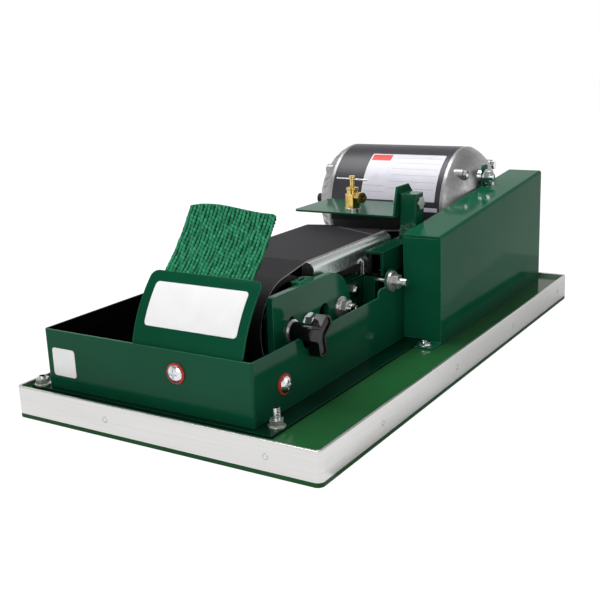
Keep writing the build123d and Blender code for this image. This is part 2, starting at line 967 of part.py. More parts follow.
def platen_tongue(inner, shoulder):
    """A tongue bent out of the flange, that stands over the leg where the channel is cut back."""
    outer = channel_left
    step = outer - inner
    foot = channel_bottom + tongue_leg_room
    section = Polygon((inner, shoulder + step), (outer, shoulder), (outer, foot),
                      (outer - platen_sheet, foot),
                      (outer - platen_sheet, shoulder + platen_sheet - tongue_lap),
                      (inner, shoulder + step - tongue_lap), align=None)
    return extrude(Plane.XZ.offset(-tongue_front) * section, tongue_width, dir=(0, 1, 0))


def make_platen_bolts():
    seat = side_right - platen_sheet
    y = platen_rear_y()
    spacer = ring_x(side_right, web_left, plain_washer_radius, frame_bolt_radius + shaft_fit,
                    y, platen_bolt_z)
    bolt, nut = bolt_and_nut(seat, web_right, frame_bolt_radius, frame_bolt_flats, frame_bolt_head,
                             frame_bolt_head, frame_bolt_head / 4, y, platen_bolt_z)
    return group([spacer, bolt, nut])


# Bearing housing, drive shaft and drums

def make_bearing_housing():
    seat = drive_bearing_radius + shaft_fit
    inner_left = housing_left + housing_lip + drive_bearing_width
    inner_right = housing_right - housing_lip - drive_bearing_width
    housing = turned([
        (housing_left, seat), (housing_left, housing_radius), (web_right, housing_radius),
        (web_right, housing_flange_radius), (web_right + housing_flange, housing_flange_radius),
        (web_right + housing_flange, housing_radius), (housing_right, housing_radius),
        (housing_right, seat), (inner_right, seat), (inner_right, housing_bore),
        (inner_left, housing_bore), (inner_left, seat),
    ], drive_y, axis_z)
    for y, z in around(housing_bolts, housing_bolt_circle, drive_y, axis_z, housing_bolt_angle):
        housing -= bar_x(web_right, web_right + housing_flange, housing_bolt_radius + stud_fit, y, z)
    return housing


def make_housing_bolts():
    pieces = []
    grip = web_right + housing_flange
    for y, z in around(housing_bolts, housing_bolt_circle, drive_y, axis_z, housing_bolt_angle):
        head = hex_x(grip, grip + housing_bolt_head, housing_bolt_flats, y, z)
        tail = web_left - housing_bolt_head
        pieces.append(head + bar_x(tail, grip, housing_bolt_radius, y, z))
        pieces.append(nut_x(tail, web_left, housing_bolt_flats, housing_bolt_radius + shaft_fit, y, z))
    return group(pieces)


def bearing(left, width, outer, bore, y, z):
    """A ball bearing with a shield set in between its two rings."""
    right = left + width
    step = bearing_recess
    race = (outer - bore) / 4
    return turned([
        (left, bore), (right, bore), (right, bore + race), (right - step, bore + race),
        (right - step, outer - race), (right, outer - race), (right, outer), (left, outer),
        (left, outer - race), (left + step, outer - race), (left + step, bore + race),
        (left, bore + race),
    ], y, z)


def make_drive_bearings():
    bore = shaft_radius + shaft_fit
    places = [housing_left + housing_lip, housing_right - housing_lip - drive_bearing_width]
    return group(bearing(left, drive_bearing_width, drive_bearing_radius, bore, drive_y, axis_z)
                 for left in places)


def make_drive_shaft():
    end = pulley_x + pulley_hub_length / 2 + shaft_past_hub
    return bar_x(drum_left + drum_hub_inset, end, shaft_radius, drive_y, axis_z)


def make_drum(y, bore, seat_radius=0.0, seat_width=0.0):
    """A belt drum: a rim, a holed web and a hub, with a bearing seat in each end of the hub."""
    rim_inner = drum_radius - drum_rim
    hub_left = drum_left + drum_hub_inset
    hub_right = drum_right - drum_hub_inset
    web_l = belt_centre - drum_web / 2
    web_r = belt_centre + drum_web / 2
    drum = turned([
        (drum_left, rim_inner), (drum_left, drum_radius), (drum_right, drum_radius),
        (drum_right, rim_inner), (web_r, rim_inner), (web_r, drum_hub_radius),
        (hub_right, drum_hub_radius), (hub_right, bore), (hub_left, bore),
        (hub_left, drum_hub_radius), (web_l, drum_hub_radius), (web_l, rim_inner),
    ], y, axis_z)
    for hole_y, hole_z in around(drum_holes, drum_hole_circle, y, axis_z):
        drum -= bar_x(web_l, web_r, drum_hole_radius, hole_y, hole_z)
    if seat_width:
        drum -= bar_x(hub_left, hub_left + seat_width, seat_radius, y, axis_z)
        drum -= bar_x(hub_right - seat_width, hub_right, seat_radius, y, axis_z)
    return drum


def make_drive_drum():
    return make_drum(drive_y, shaft_radius + shaft_fit)


def make_idler_drum():
    return make_drum(idler_y, axle_shoulder_radius + idler_bore_room, idler_bearing_radius + shaft_fit,
                     idler_bearing_width)


def make_idler_bearings():
    bore = axle_radius + shaft_fit
    places = [drum_left + drum_hub_inset, drum_right - drum_hub_inset - idler_bearing_width]
    return group(bearing(left, idler_bearing_width, idler_bearing_radius, bore, idler_y, axis_z)
                 for left in places)


# Abrasive belt

def tangent_point(centre_y, radius, corner_y, corner_z, side):
    """Where a line from a corner touches a drum's circle, in front (-1) or behind (+1) of its top."""
    dy = corner_y - centre_y
    dz = corner_z - axis_z
    reach = math.hypot(dy, dz)
    angle = math.atan2(dz, dy) - side * math.acos(radius / reach)
    return centre_y + radius * math.cos(angle), axis_z + radius * math.sin(angle), angle


def make_abrasive_belt():
    radius = drum_radius + belt_gap
    front = (platen_front, platen_top)
    back = (platen_back, platen_top)
    front_y, front_z, front_angle = tangent_point(idler_y, radius, *front, -1)
    back_y, back_z, back_angle = tangent_point(drive_y, radius, *back, 1)
    front_low = (idler_y, axis_z - radius)
    back_low = (drive_y, axis_z - radius)
    inside = make_face([
        Line(back, front),
        Line(front, (front_y, front_z)),
        ThreePointArc((front_y, front_z), (idler_y - radius, axis_z), front_low),
        Line(front_low, back_low),
        ThreePointArc(back_low, (drive_y + radius, axis_z), (back_y, back_z)),
        Line((back_y, back_z), back),
    ])
    outside = offset(inside, amount=belt_thickness, kind=Kind.INTERSECTION)
    return across(belt_left, belt_right, outside - inside)


# Tension arm, idler axle, pivot and knob

def make_tension_arm():
    front = idler_y - arm_front
    high = axis_z + arm_above_idler
    low = axis_z - arm_below_idler
    end_y = pivot_y - arm_end_ahead_of_pivot
    end_z = high - arm_end_radius
    corner = arm_corner
    outline = make_face([
        Line((front, low), (front, high - corner)),
        RadiusArc((front, high - corner), (front + corner, high), corner),
        Line((front + corner, high), (end_y, high)),
        RadiusArc((end_y, high), (end_y + arm_end_radius, end_z), arm_end_radius),
        Line((end_y + arm_end_radius, end_z), (end_y + arm_end_radius, low)),
        Line((end_y + arm_end_radius, low), (front, low)),
    ])
    notch_y = (idler_y + pivot_y) / 2
    notch_round = arm_notch_width / 2
    notch_z = axis_z + arm_notch_height - notch_round
    outline -= Pos(notch_y, low) * Rectangle(arm_notch_width, 2 * (notch_z - low))
    outline -= Pos(notch_y, notch_z) * Circle(notch_round)
    reach = math.hypot(knob_y - pivot_y, knob_z - pivot_z)
    lean = math.degrees(math.atan2(knob_z - pivot_z, knob_y - pivot_y))
    spread = math.degrees(arm_slot_length / reach)
    slot_path = CenterArc((pivot_y, pivot_z), reach, lean - spread / 2, spread)
    outline -= SlotArc(slot_path, 2 * (clamp_radius + arm_slot_room))
    outline -= Pos(pivot_y, pivot_z) * Circle(pivot_radius + shaft_fit)
    outline -= Pos(idler_y, axis_z) * Circle(axle_thread_radius + shaft_fit)
    arm = across(arm_left, arm_right, outline)
    tab_y = idler_y + ear_tab_front
    tab = Pos(arm_left - ear_tab_width / 2, tab_y + ear_tab_length / 2) * RectangleRounded(
        ear_tab_width, ear_tab_length, ear_tab_width / 3)
    tab += Pos(arm_left - ear_tab_width / 4, tab_y + ear_tab_length / 2) * Rectangle(
        ear_tab_width / 2, ear_tab_length)
    tab -= Pos(arm_left - ear_tab_width / 2, tab_y + ear_tab_length / 2) * Rot(0, 0, 90) * SlotOverall(
        ear_tab_length / 2, ear_tab_slot)
    return arm + upward(high - ear_tab_thickness, high, tab)


def make_idler_axle():
    bearing_right = drum_right - drum_hub_inset
    shoulder = bearing_right + slip_gap
    ring_left = drum_left + drum_hub_inset - slip_gap - ring_thickness
    end = arm_right + axle_washer + axle_nut_thickness + axle_end
    return turned([
        (ring_left - axle_end, 0), (ring_left - axle_end, axle_radius), (shoulder, axle_radius),
        (shoulder, axle_shoulder_radius), (arm_left, axle_shoulder_radius),
        (arm_left, axle_thread_radius), (end, axle_thread_radius), (end, 0),
    ], idler_y, axis_z)


def make_axle_nut():
    bore = axle_thread_radius + shaft_fit
    seat = arm_right + axle_washer
    washer = ring_x(arm_right, seat, axle_nut_flats / 2 + axle_washer, bore, idler_y, axis_z)
    nut = nut_x(seat, seat + axle_nut_thickness, axle_nut_flats, bore, idler_y, axis_z)
    return group([washer, nut])


def make_axle_ring():
    right = drum_left + drum_hub_inset - slip_gap
    return ring_x(right - ring_thickness, right, ring_radius, axle_radius + shaft_fit, idler_y, axis_z)


def arm_spacer(radius, y, z):
    """A washer that keeps the arm clear of the side plate."""
    return ring_x(side_right, arm_left - slip_gap, clamp_washer_radius, radius + shaft_fit, y, z)


pivot_stack = [(fender_radius, fender_thickness), (plain_washer_radius, fender_thickness)]


def pivot_nut_left():
    """Left face of the pivot's nut."""
    return arm_right + slip_gap + sum(thickness for _, thickness in pivot_stack)


def make_pivot_bolt():
    head = hex_x(side_left - pivot_head, side_left, pivot_head_flats, pivot_y, pivot_z)
    end = pivot_nut_left() + pivot_nut + pivot_end
    return head + bar_x(side_left, end, pivot_radius, pivot_y, pivot_z)


def make_pivot_nut():
    pieces = [arm_spacer(pivot_radius, pivot_y, pivot_z)]
    left = arm_right + slip_gap
    for radius, thickness in pivot_stack:
        pieces.append(ring_x(left, left + thickness, radius, pivot_radius + shaft_fit, pivot_y, pivot_z))
        left += thickness
    pieces.append(nut_x(left, left + pivot_nut, pivot_nut_flats, pivot_radius + shaft_fit,
                        pivot_y, pivot_z))
    return group(pieces)


knob_hub_left = arm_right + slip_gap + 2 * clamp_washer + slip_gap
knob_face = tank_right + knob_wall_room
knob_right = knob_face + knob_lobe_depth


def make_clamp_stud():
    return bar_x(side_left, knob_face + stud_in_knob, clamp_radius, knob_y, knob_z)


def make_clamp_washers():
    pieces = [arm_spacer(clamp_radius, knob_y, knob_z)]
    for i in range(2):
        left = arm_right + slip_gap + i * clamp_washer
        pieces.append(ring_x(left, left + clamp_washer, clamp_washer_radius - i * clamp_washer,
                             clamp_radius + shaft_fit, knob_y, knob_z))
    return group(pieces)


def make_clamp_knob():
    star = Circle(knob_hub_radius + knob_core)
    for i in range(knob_lobes):
        turn = knob_angle + 360.0 * i / knob_lobes
        star += Rot(0, 0, turn) * Pos(knob_lobe_reach / 2, 0) * Rectangle(knob_lobe_reach, knob_lobe_width)
    tips = [v for v in star.vertices() if math.hypot(v.X, v.Y) > knob_lobe_reach * 0.9]
    star = fillet(tips, knob_lobe_width / 5)
    head = across(knob_face, knob_right, star)
    head = fillet(head.faces().sort_by(Axis.X)[-1].edges(), knob_rounding)
    head += turned([(knob_hub_left, 0), (knob_hub_left, knob_hub_radius - knob_core),
                    (knob_face, knob_hub_radius), (knob_face, 0)], 0, 0)
    head -= bar_x(knob_hub_left, knob_face + stud_in_knob + slip_gap, clamp_radius + shaft_fit, 0, 0)
    return Pos(0, knob_y, knob_z) * head


# Pulleys and V-belt

def make_pulley(radius, bore, y, z):
    """A V-pulley with its groove over the pulley plane, a web and a hub."""
    half = pulley_width / 2
    hub = pulley_hub_length / 2
    groove = radius - groove_depth
    rim_inner = max(radius - pulley_rim, pulley_hub_radius)
    web = half if rim_inner == pulley_hub_radius else pulley_web / 2
    points = [
        (-half, rim_inner), (-half, radius), (-groove_mouth / 2, radius), (-groove_floor / 2, groove),
        (groove_floor / 2, groove), (groove_mouth / 2, radius), (half, radius), (half, rim_inner),
    ]
    if rim_inner > pulley_hub_radius:
        points += [(web, rim_inner), (web, pulley_hub_radius)]
    points += [(hub, pulley_hub_radius), (hub, bore), (-hub, bore), (-hub, pulley_hub_radius)]
    if rim_inner > pulley_hub_radius:
        points += [(-web, pulley_hub_radius), (-web, rim_inner)]
    return Pos(pulley_x, 0, 0) * turned(points, y, z)


def make_drive_pulley():
    return make_pulley(drive_pulley_radius, shaft_radius + shaft_fit, drive_y, axis_z)


def make_motor_pulley():
    return make_pulley(motor_pulley_radius, motor_shaft_radius + shaft_fit, motor_y, motor_z)


def make_v_belt():
    big = drive_pulley_radius - vbelt_sink
    small = motor_pulley_radius - vbelt_sink
    dy = motor_y - drive_y
    dz = motor_z - axis_z
    line = math.atan2(dz, dy)
    spread = math.acos((big - small) / math.hypot(dy, dz))

    def on_drive(angle):
        return pulley_x, drive_y + big * math.cos(angle), axis_z + big * math.sin(angle)

    def on_motor(angle):
        return pulley_x, motor_y + small * math.cos(angle), motor_z + small * math.sin(angle)

    over = line + spread
    under = line - spread
    path = Wire([
        Line(on_drive(over), on_motor(over)),
        ThreePointArc(on_motor(over), on_motor(line), on_motor(under)),
        Line(on_motor(under), on_drive(under)),
        ThreePointArc(on_drive(under), on_drive(line + math.pi), on_drive(over)),
    ])
    along = over + 3 * math.pi / 2
    start = Plane(origin=on_drive(over), x_dir=(1, 0, 0), z_dir=(0, math.cos(along), math.sin(along)))
    section = Polygon((-vbelt_top / 2, 0), (vbelt_top / 2, 0), (vbelt_bottom / 2, vbelt_height),
                      (-vbelt_bottom / 2, vbelt_height), align=None)
    return sweep(start * section, path)


# Belt guard

def guard_top(y):
    """Height of the guard's sloping top."""
    return guard_front_top + guard_slope * (y - guard_front)


def make_belt_guard():
    sheet = guard_sheet
    inner_front = guard_front + sheet
    inner_back = guard_back - sheet
    outline = Polygon((guard_front, board_top), (guard_back, board_top), (guard_back, guard_back_top),
                      (guard_front, guard_front_top), align=None)
    hollow = Polygon((inner_front, board_top), (inner_back, board_top),
                     (inner_back, guard_top(inner_back) - sheet),
                     (inner_front, guard_top(inner_front) - sheet), align=None)
    guard = across(guard_left, guard_right, outline)
    long_edges = [e for e in guard.edges()
                  if e.center().X > guard_right - sheet and e.center().Z > guard_front_top
                  and e.length > (guard_back - guard_front) / 2]
    guard = fillet(long_edges, guard_bend)
    guard -= across(guard_left, guard_right - sheet, hollow)
    lip = Polygon((guard_front, guard_front_top), (guard_back, guard_back_top),
                  (guard_back, guard_back_top - guard_lip), (guard_front, guard_front_top - guard_lip),
                  align=None)
    half = guard_ear_width / 2
    ear_top = guard_top(guard_ear_y) + guard_ear_rise
    ear = Pos(guard_ear_y, ear_top - guard_ear_rise / 2) * RectangleRounded(
        guard_ear_width, guard_ear_rise + guard_lip, half / 2)
    ear -= Pos(guard_ear_y, ear_top - guard_ear_bolt_drop) * Circle(guard_ear_bolt_radius + stud_fit)
    guard += across(guard_left, guard_left + sheet, lip + ear)
    seam_z = guard_front_top - guard_seam_drop
    guard -= block(guard_left + sheet, guard_right - guard_bend, guard_front, guard_front + guard_seam,
                   seam_z - guard_seam, seam_z)
    step = tank_bottom + guard_step_room
    flange_edge = tank_right + flange_right + guard_step_room
    guard -= block(guard_left, flange_edge, guard_front, inner_front, board_top, step)
    foot_left = guard_right - guard_foot_width
    foot_top = board_top + sheet
    guard += block(foot_left, guard_right, guard_front - guard_foot_length, guard_front, board_top, foot_top)
    guard += block(foot_left, guard_right - sheet, guard_back - guard_foot_length, guard_back,
                   board_top, foot_top)
    for x, y in guard_stud_places():
        guard -= bar_z(board_top, foot_top, stud_radius + stud_fit, x, y)
    return guard


def make_guard_fasteners():
    pieces = []
    for x, y in guard_stud_places():
        foot_top = board_top + guard_sheet
        pieces.append(bar_z(board_top - stud_depth, foot_top + stud_above - stud_nut, stud_radius, x, y))
        pieces += washer_and_nut(foot_top, x, y)
    bolt_z = guard_top(guard_ear_y) + guard_ear_rise - guard_ear_bolt_drop
    seat = guard_left + guard_sheet
    start = shell_right + drive_bell_depth
    bolt = bar_x(start, seat + 2 * stud_nut, guard_ear_bolt_radius, guard_ear_y, bolt_z)
    bore = guard_ear_bolt_radius + shaft_fit
    pieces.append(bolt)
    pieces.append(ring_x(start, guard_left, plain_washer_radius, bore, guard_ear_y, bolt_z))
    pieces.append(ring_x(seat, seat + stud_washer, plain_washer_radius, bore, guard_ear_y, bolt_z))
    pieces.append(nut_x(seat + stud_washer, seat + stud_washer + stud_nut, guard_ear_bolt_flats, bore,
                        guard_ear_y, bolt_z))
    return group(pieces)


# Motor

def foot_bolt_places():
    """The four bolts of the motor's foot, as (x, y)."""
    places = []
    for side_x in (-1, 1):
        for side_y in (-1, 1):
            places.append((foot_centre + side_x * foot_bolt_along / 2,
                           motor_y + side_y * foot_bolt_across / 2))
    return places


rail_top = board_top + rail_side


def make_motor_rails():
    rails = []
    for side in (-1, 1):
        x = foot_centre + side * foot_bolt_along / 2
        half = rail_side / 2
        y0 = motor_y - rail_length / 2
        rail = block(x - half, x + half, y0, y0 + rail_length, board_top, rail_top)
        rail -= block(x - half + rail_wall, x + half - rail_wall, y0, y0 + rail_length,
                      board_top + rail_wall, rail_top - rail_wall)
        for bolt_x, bolt_y in foot_bolt_places():
            rail -= bar_z(rail_top - rail_wall, rail_top, foot_bolt_radius + stud_fit, bolt_x, bolt_y)
        rails.append(rail)
    return group(rails)


def make_motor_base():
    half = motor_foot_length / 2
    top = rail_top + motor_foot
    foot = upward(rail_top, top, Pos(foot_centre, motor_y) * RectangleRounded(
        motor_foot_length, motor_foot_width, motor_foot_corner))
    for x, y in foot_bolt_places():
        slot = Pos(x, y) * Rot(0, 0, 90) * SlotCenterToCenter(foot_slot, 2 * (foot_bolt_radius + stud_fit))
        foot -= upward(rail_top, top, slot)
    reach = motor_z - rail_top
    for side in (-1, 1):
        saddle = Polygon((motor_y + side * saddle_foot, top - motor_foot / 2),
                         (motor_y + side * (saddle_foot - saddle_wall), top - motor_foot / 2),
                         (motor_y + side * (saddle_top - saddle_wall), rail_top + reach / 2),
                         (motor_y + side * saddle_top, rail_top + reach / 2), align=None)
        foot += across(foot_centre - half, foot_centre + half, saddle)
    return foot - bar_x(foot_centre - half, foot_centre + half, motor_radius + saddle_fit, motor_y, motor_z)


def make_motor_bolts():
    pieces = []
    top = rail_top + motor_foot
    for x, y in foot_bolt_places():
        washer = ring_z(top, top + stud_washer, plain_washer_radius, foot_bolt_radius + stud_fit, x, y)
        seat = top + stud_washer
        bolt = hex_z(seat, seat + foot_bolt_head, foot_bolt_flats, x, y)
        low = rail_top - rail_wall - foot_bolt_head
        bolt += bar_z(low, seat, foot_bolt_radius, x, y)
        nut = hex_z(low, rail_top - rail_wall, foot_bolt_flats, x, y)
        nut -= bar_z(low, rail_top - rail_wall, foot_bolt_radius + shaft_fit, x, y)
        pieces += [washer, bolt, nut]
    return group(pieces)


def make_motor_shell():
    return ring_x(shell_left, shell_right, motor_radius, motor_radius - motor_shell_wall, motor_y, motor_z)


def bell_boss_places():
    """Through-bolt bosses round the motor, as (y, z)."""
    return around(through_bolts, bolt_circle, motor_y, motor_z, through_bolt_angle)


def make_bell(depth, face, boss_drop):
    """An end bell with its rim at x = 0 and a face of this radius at x = depth, about the X axis."""
    wall = bell_wall
    rim = motor_radius
    floor = depth - wall
    seat_right = depth - bell_face_wall
    seat_left = seat_right - motor_bearing_width
    shaft_hole = motor_shaft_radius + bell_shaft_room
    seat = motor_bearing_radius + shaft_fit
    profile = make_face([
        Line((0, rim), (bell_shoulder, rim)),
        RadiusArc((bell_shoulder, rim), (depth, face), bell_curve_radius),
        Polyline((depth, face), (depth, shaft_hole), (seat_right, shaft_hole), (seat_right, seat),
                 (seat_left, seat), (seat_left, bell_hub_radius), (floor, bell_hub_radius),
                 (floor, face - wall)),
        RadiusArc((floor, face - wall), (bell_shoulder, rim - wall), wall - bell_curve_radius),
        Polyline((bell_shoulder, rim - wall), (0, rim - wall), (0, rim)),
    ])
    bell = revolve(profile, Axis.X)
    for y, z in around(through_bolts, bolt_circle, 0, 0, through_bolt_angle):
        top = depth - boss_drop
        bell += bar_x(bell_shoulder, top, bell_boss_radius, y, z)
        bell -= bar_x(top, depth, bell_boss_radius, y, z)
        bell -= bar_x(0, top, through_bolt_radius + stud_fit, y, z)
    return bell


def make_drive_end_bell():
    return Pos(shell_right, motor_y, motor_z) * make_bell(drive_bell_depth, drive_face_radius,
                                                             drive_boss_drop)


def gland_place():
    """Where the supply lead would enter the rear bell, as (y, z)."""
    lean = math.radians(gland_angle)
    reach = rear_face_radius - gland_radius - gland_collar - gland_edge_room
    return motor_y + reach * math.cos(lean), motor_z + reach * math.sin(lean)


def rim_groove_cuts():
    """Shallow grooves that leave ribs round the rear bell's curve, none of them at a boss."""
    run = rear_bell_depth - bell_shoulder
    fall = motor_radius - rear_face_radius
    chord = math.hypot(run, fall)
    crown = bell_curve_radius - math.sqrt(bell_curve_radius ** 2 - chord ** 2 / 4)
    curve = Plane((-bell_shoulder - run / 2, 0, motor_radius - fall / 2),
                  x_dir=(-run, 0, -fall), z_dir=(-fall, 0, run))
    groove = curve * Pos(0, 0, crown) * Box(chord, rim_groove_width, 2 * rim_groove_depth)
    boss_angle = math.degrees((bell_boss_radius + rim_groove_width / 2) / bolt_circle)
    cuts = []
    for i in range(rim_grooves):
        angle = 360.0 * i / rim_grooves
        from_boss = (angle - through_bolt_angle) % (360.0 / through_bolts)
        if boss_angle < from_boss < 360.0 / through_bolts - boss_angle:
            cuts.append(Rot(angle, 0, 0) * groove)
    return cuts


def make_rear_end_bell():
    bell = Rot(0, 0, 180) * make_bell(rear_bell_depth, rear_face_radius, rear_boss_drop)
    for groove in rim_groove_cuts():
        bell -= groove
    bell = Pos(shell_left, motor_y, motor_z) * bell
    face = shell_left - rear_bell_depth
    middle = (bell_hub_radius + rear_face_radius) / 2
    for i in range(bell_vents):
        angle = 360.0 * (i + 0.5) / bell_vents
        vent = Pos(motor_y, motor_z) * Rot(0, 0, angle) * Pos(middle, 0) * SlotOverall(
            bell_vent_length, bell_vent_width)
        y, z = gland_place()
        if math.hypot(vent.center().X - y, vent.center().Y - z) > bell_vent_length:
            bell -= across(face, face + bell_wall, vent)
    y, z = gland_place()
    return bell - bar_x(face, face + bell_wall, gland_radius, y, z)


def make_cord_gland():
    y, z = gland_place()
    face = shell_left - rear_bell_depth
    collar = bar_x(face - gland_length, face, gland_radius + gland_collar, y, z)
    neck = bar_x(face, face + bell_wall, gland_radius - shaft_fit, y, z)
    return collar + neck - bar_x(face - gland_length, face + bell_wall, gland_radius / 2, y, z)


def make_through_bolts():
    right = shell_right + drive_bell_depth - drive_boss_drop
    left = shell_left - rear_bell_depth + rear_boss_drop
    pieces = []
    for y, z in bell_boss_places():
        rod = bar_x(left - through_bolt_end, right, through_bolt_radius, y, z)
        pieces.append(rod + hex_x(right, right + through_bolt_head, through_bolt_flats, y, z))
    return group(pieces)


def make_motor_stator():
    outer = motor_radius - motor_shell_wall - stator_fit
    inner = rotor_radius + rotor_gap
    left = shell_left + stator_inset
    right = shell_right - stator_inset
    stator = ring_x(left, right, outer, inner, motor_y, motor_z)
    for y, z in bell_boss_places():
        stator -= bar_x(left, right, through_bolt_radius + stud_fit, y, z)
    stator += ring_x(left - coil_length, left, coil_outer, coil_inner, motor_y, motor_z)
    return stator + ring_x(right, right + coil_length, coil_outer, coil_inner, motor_y, motor_z)


def make_motor_bearings():
    bore = motor_shaft_radius + shaft_fit
    right = shell_right + drive_bell_depth - bell_face_wall - motor_bearing_width
    left = shell_left - rear_bell_depth + bell_face_wall
    return group(bearing(x, motor_bearing_width, motor_bearing_radius, bore, motor_y, motor_z)
                 for x in (left, right))


def make_motor_shaft():
    left = shell_left - rear_bell_depth + bell_face_wall
    end = pulley_x + pulley_hub_length / 2 + shaft_past_hub
    return bar_x(left, end, motor_shaft_radius, motor_y, motor_z)


def make_motor_rotor():
    left = shell_left + stator_inset
    right = shell_right - stator_inset
    rotor = bar_x(left, right, rotor_radius, motor_y, motor_z)
    rotor += bar_x(left - rotor_ring, right + rotor_ring, rotor_ring_radius, motor_y, motor_z)
    return rotor - bar_x(left - rotor_ring, right + rotor_ring, motor_shaft_radius + shaft_fit,
                         motor_y, motor_z)


# Hood, post and water valve

def make_hood_post():
    half = post_side / 2
    post = block(post_left, post_right, post_y - half, post_y + half, channel_top, post_top)
    post = fillet(post.edges().filter_by(Axis.Z), post_wall)
    post -= block(post_left + post_wall, post_right - post_wall, post_y - half + post_wall,
                  post_y + half - post_wall, channel_top, post_top - post_wall)
    foot = Plane.XY.offset(channel_top) * Pos((post_left + post_right) / 2, post_y) * Rectangle(
        post_side, post_side + 2 * weld_size)
    neck = Plane.XY.offset(channel_top + weld_size) * Pos((post_left + post_right) / 2, post_y) * Rectangle(
        post_side - post_wall, post_side - post_wall)
    weld = loft([foot, neck]) - block(post_left + post_wall, post_right - post_wall,
                                      post_y - half + post_wall, post_y + half - post_wall,
                                      channel_top, channel_top + weld_size)
    post += weld
    return post - bar_x(post_left, post_right, hood_bolt_radius + stud_fit, post_y, hood_axis_z)


def make_hood_bolt():
    bolt = hex_x(post_right, post_right + hood_bolt_head, hood_bolt_flats, post_y, hood_axis_z)
    nut_right = upright_left - slip_gap
    bolt += bar_x(nut_right - hood_nut, post_right, hood_bolt_radius, post_y, hood_axis_z)
    nut = nut_x(nut_right - hood_nut, nut_right, hood_bolt_flats, hood_bolt_radius + shaft_fit,
                post_y, hood_axis_z)
    return group([bolt, nut])


def make_hood():
    front = post_y - hood_front
    back = post_y + hood_back
    plate = block(hood_left, upright_right, front, back, hood_under, hood_top)
    corners = [e for e in plate.edges().filter_by(Axis.Z) if e.center().X < valve_x]
    plate = fillet(corners, hood_corner)
    high = hood_axis_z + hood_upright
    upright = Polygon((front, hood_under), (post_y - hood_upright_front, high),
                      (post_y + hood_upright_back - hood_clip, high),
                      (post_y + hood_upright_back, high - hood_clip),
                      (post_y + hood_upright_back, hood_under), align=None)
    upright -= Pos(post_y, hood_axis_z) * Circle(hood_bolt_radius + shaft_fit)
    hood = plate + across(upright_left, upright_right, upright)
    return hood - bar_z(hood_under, hood_top, valve_shank_radius + stud_fit, valve_x, valve_y)


def make_hood_curtain():
    y = post_y + curtain_behind_axis
    return block(hood_left + curtain_inset, upright_left - curtain_right_room, y, y + curtain_thickness,
                 hood_under - curtain_drop, hood_under)


body_bottom = hood_top + valve_ring
neck_bottom = body_bottom + valve_hex
cap_bottom = neck_bottom + valve_neck
cap_top = cap_bottom + valve_cap
stem_top = cap_top + stem_rise


def make_valve_ring():
    return ring_z(hood_top, body_bottom, valve_ring_radius, valve_shank_radius + stud_fit, valve_x, valve_y)


def make_valve_body():
    body = hex_z(body_bottom, neck_bottom, valve_hex_flats, valve_x, valve_y)
    body += bar_z(neck_bottom, cap_bottom, valve_neck_radius, valve_x, valve_y)
    body += bar_z(cap_bottom, cap_top, valve_cap_radius, valve_x, valve_y)
    body += bar_z(hood_under - valve_shank, body_bottom, valve_shank_radius, valve_x, valve_y)
    end = valve_port_length
    port = bar_x(0, end, valve_port_radius, 0, 0) + hex_x(end - port_nut, end, port_nut_flats, 0, 0)
    hole = bar_x(end - valve_port_bore, end, valve_port_bore_radius, 0, 0)
    side = Pos(valve_x, valve_y, hood_top + valve_port_height) * Rot(0, 0, valve_port_angle)
    body = body + side * port - side * hole
    body -= bar_z(hood_under - valve_shank, body_bottom, stem_radius, valve_x, valve_y)
    return body - bar_z(cap_top - stem_depth, cap_top, stem_radius + shaft_fit, valve_x, valve_y)


handle_z = stem_top - handle_below_top


def handle_rod(half, radius):
    """A rod through the stem, turned to where the handle stands."""
    return Pos(valve_x, valve_y, handle_z) * Rot(0, 0, handle_angle) * bar_x(-half, half, radius, 0, 0)


def make_valve_stem():
    stem = bar_z(cap_top - stem_depth + slip_gap, stem_top, stem_radius, valve_x, valve_y)
    stem += bar_z(stem_top - stem_head, stem_top, stem_head_radius, valve_x, valve_y)
    return stem - handle_rod(stem_head_radius, handle_radius + shaft_fit)


def make_valve_handle():
    return handle_rod(handle_length / 2, handle_radius)


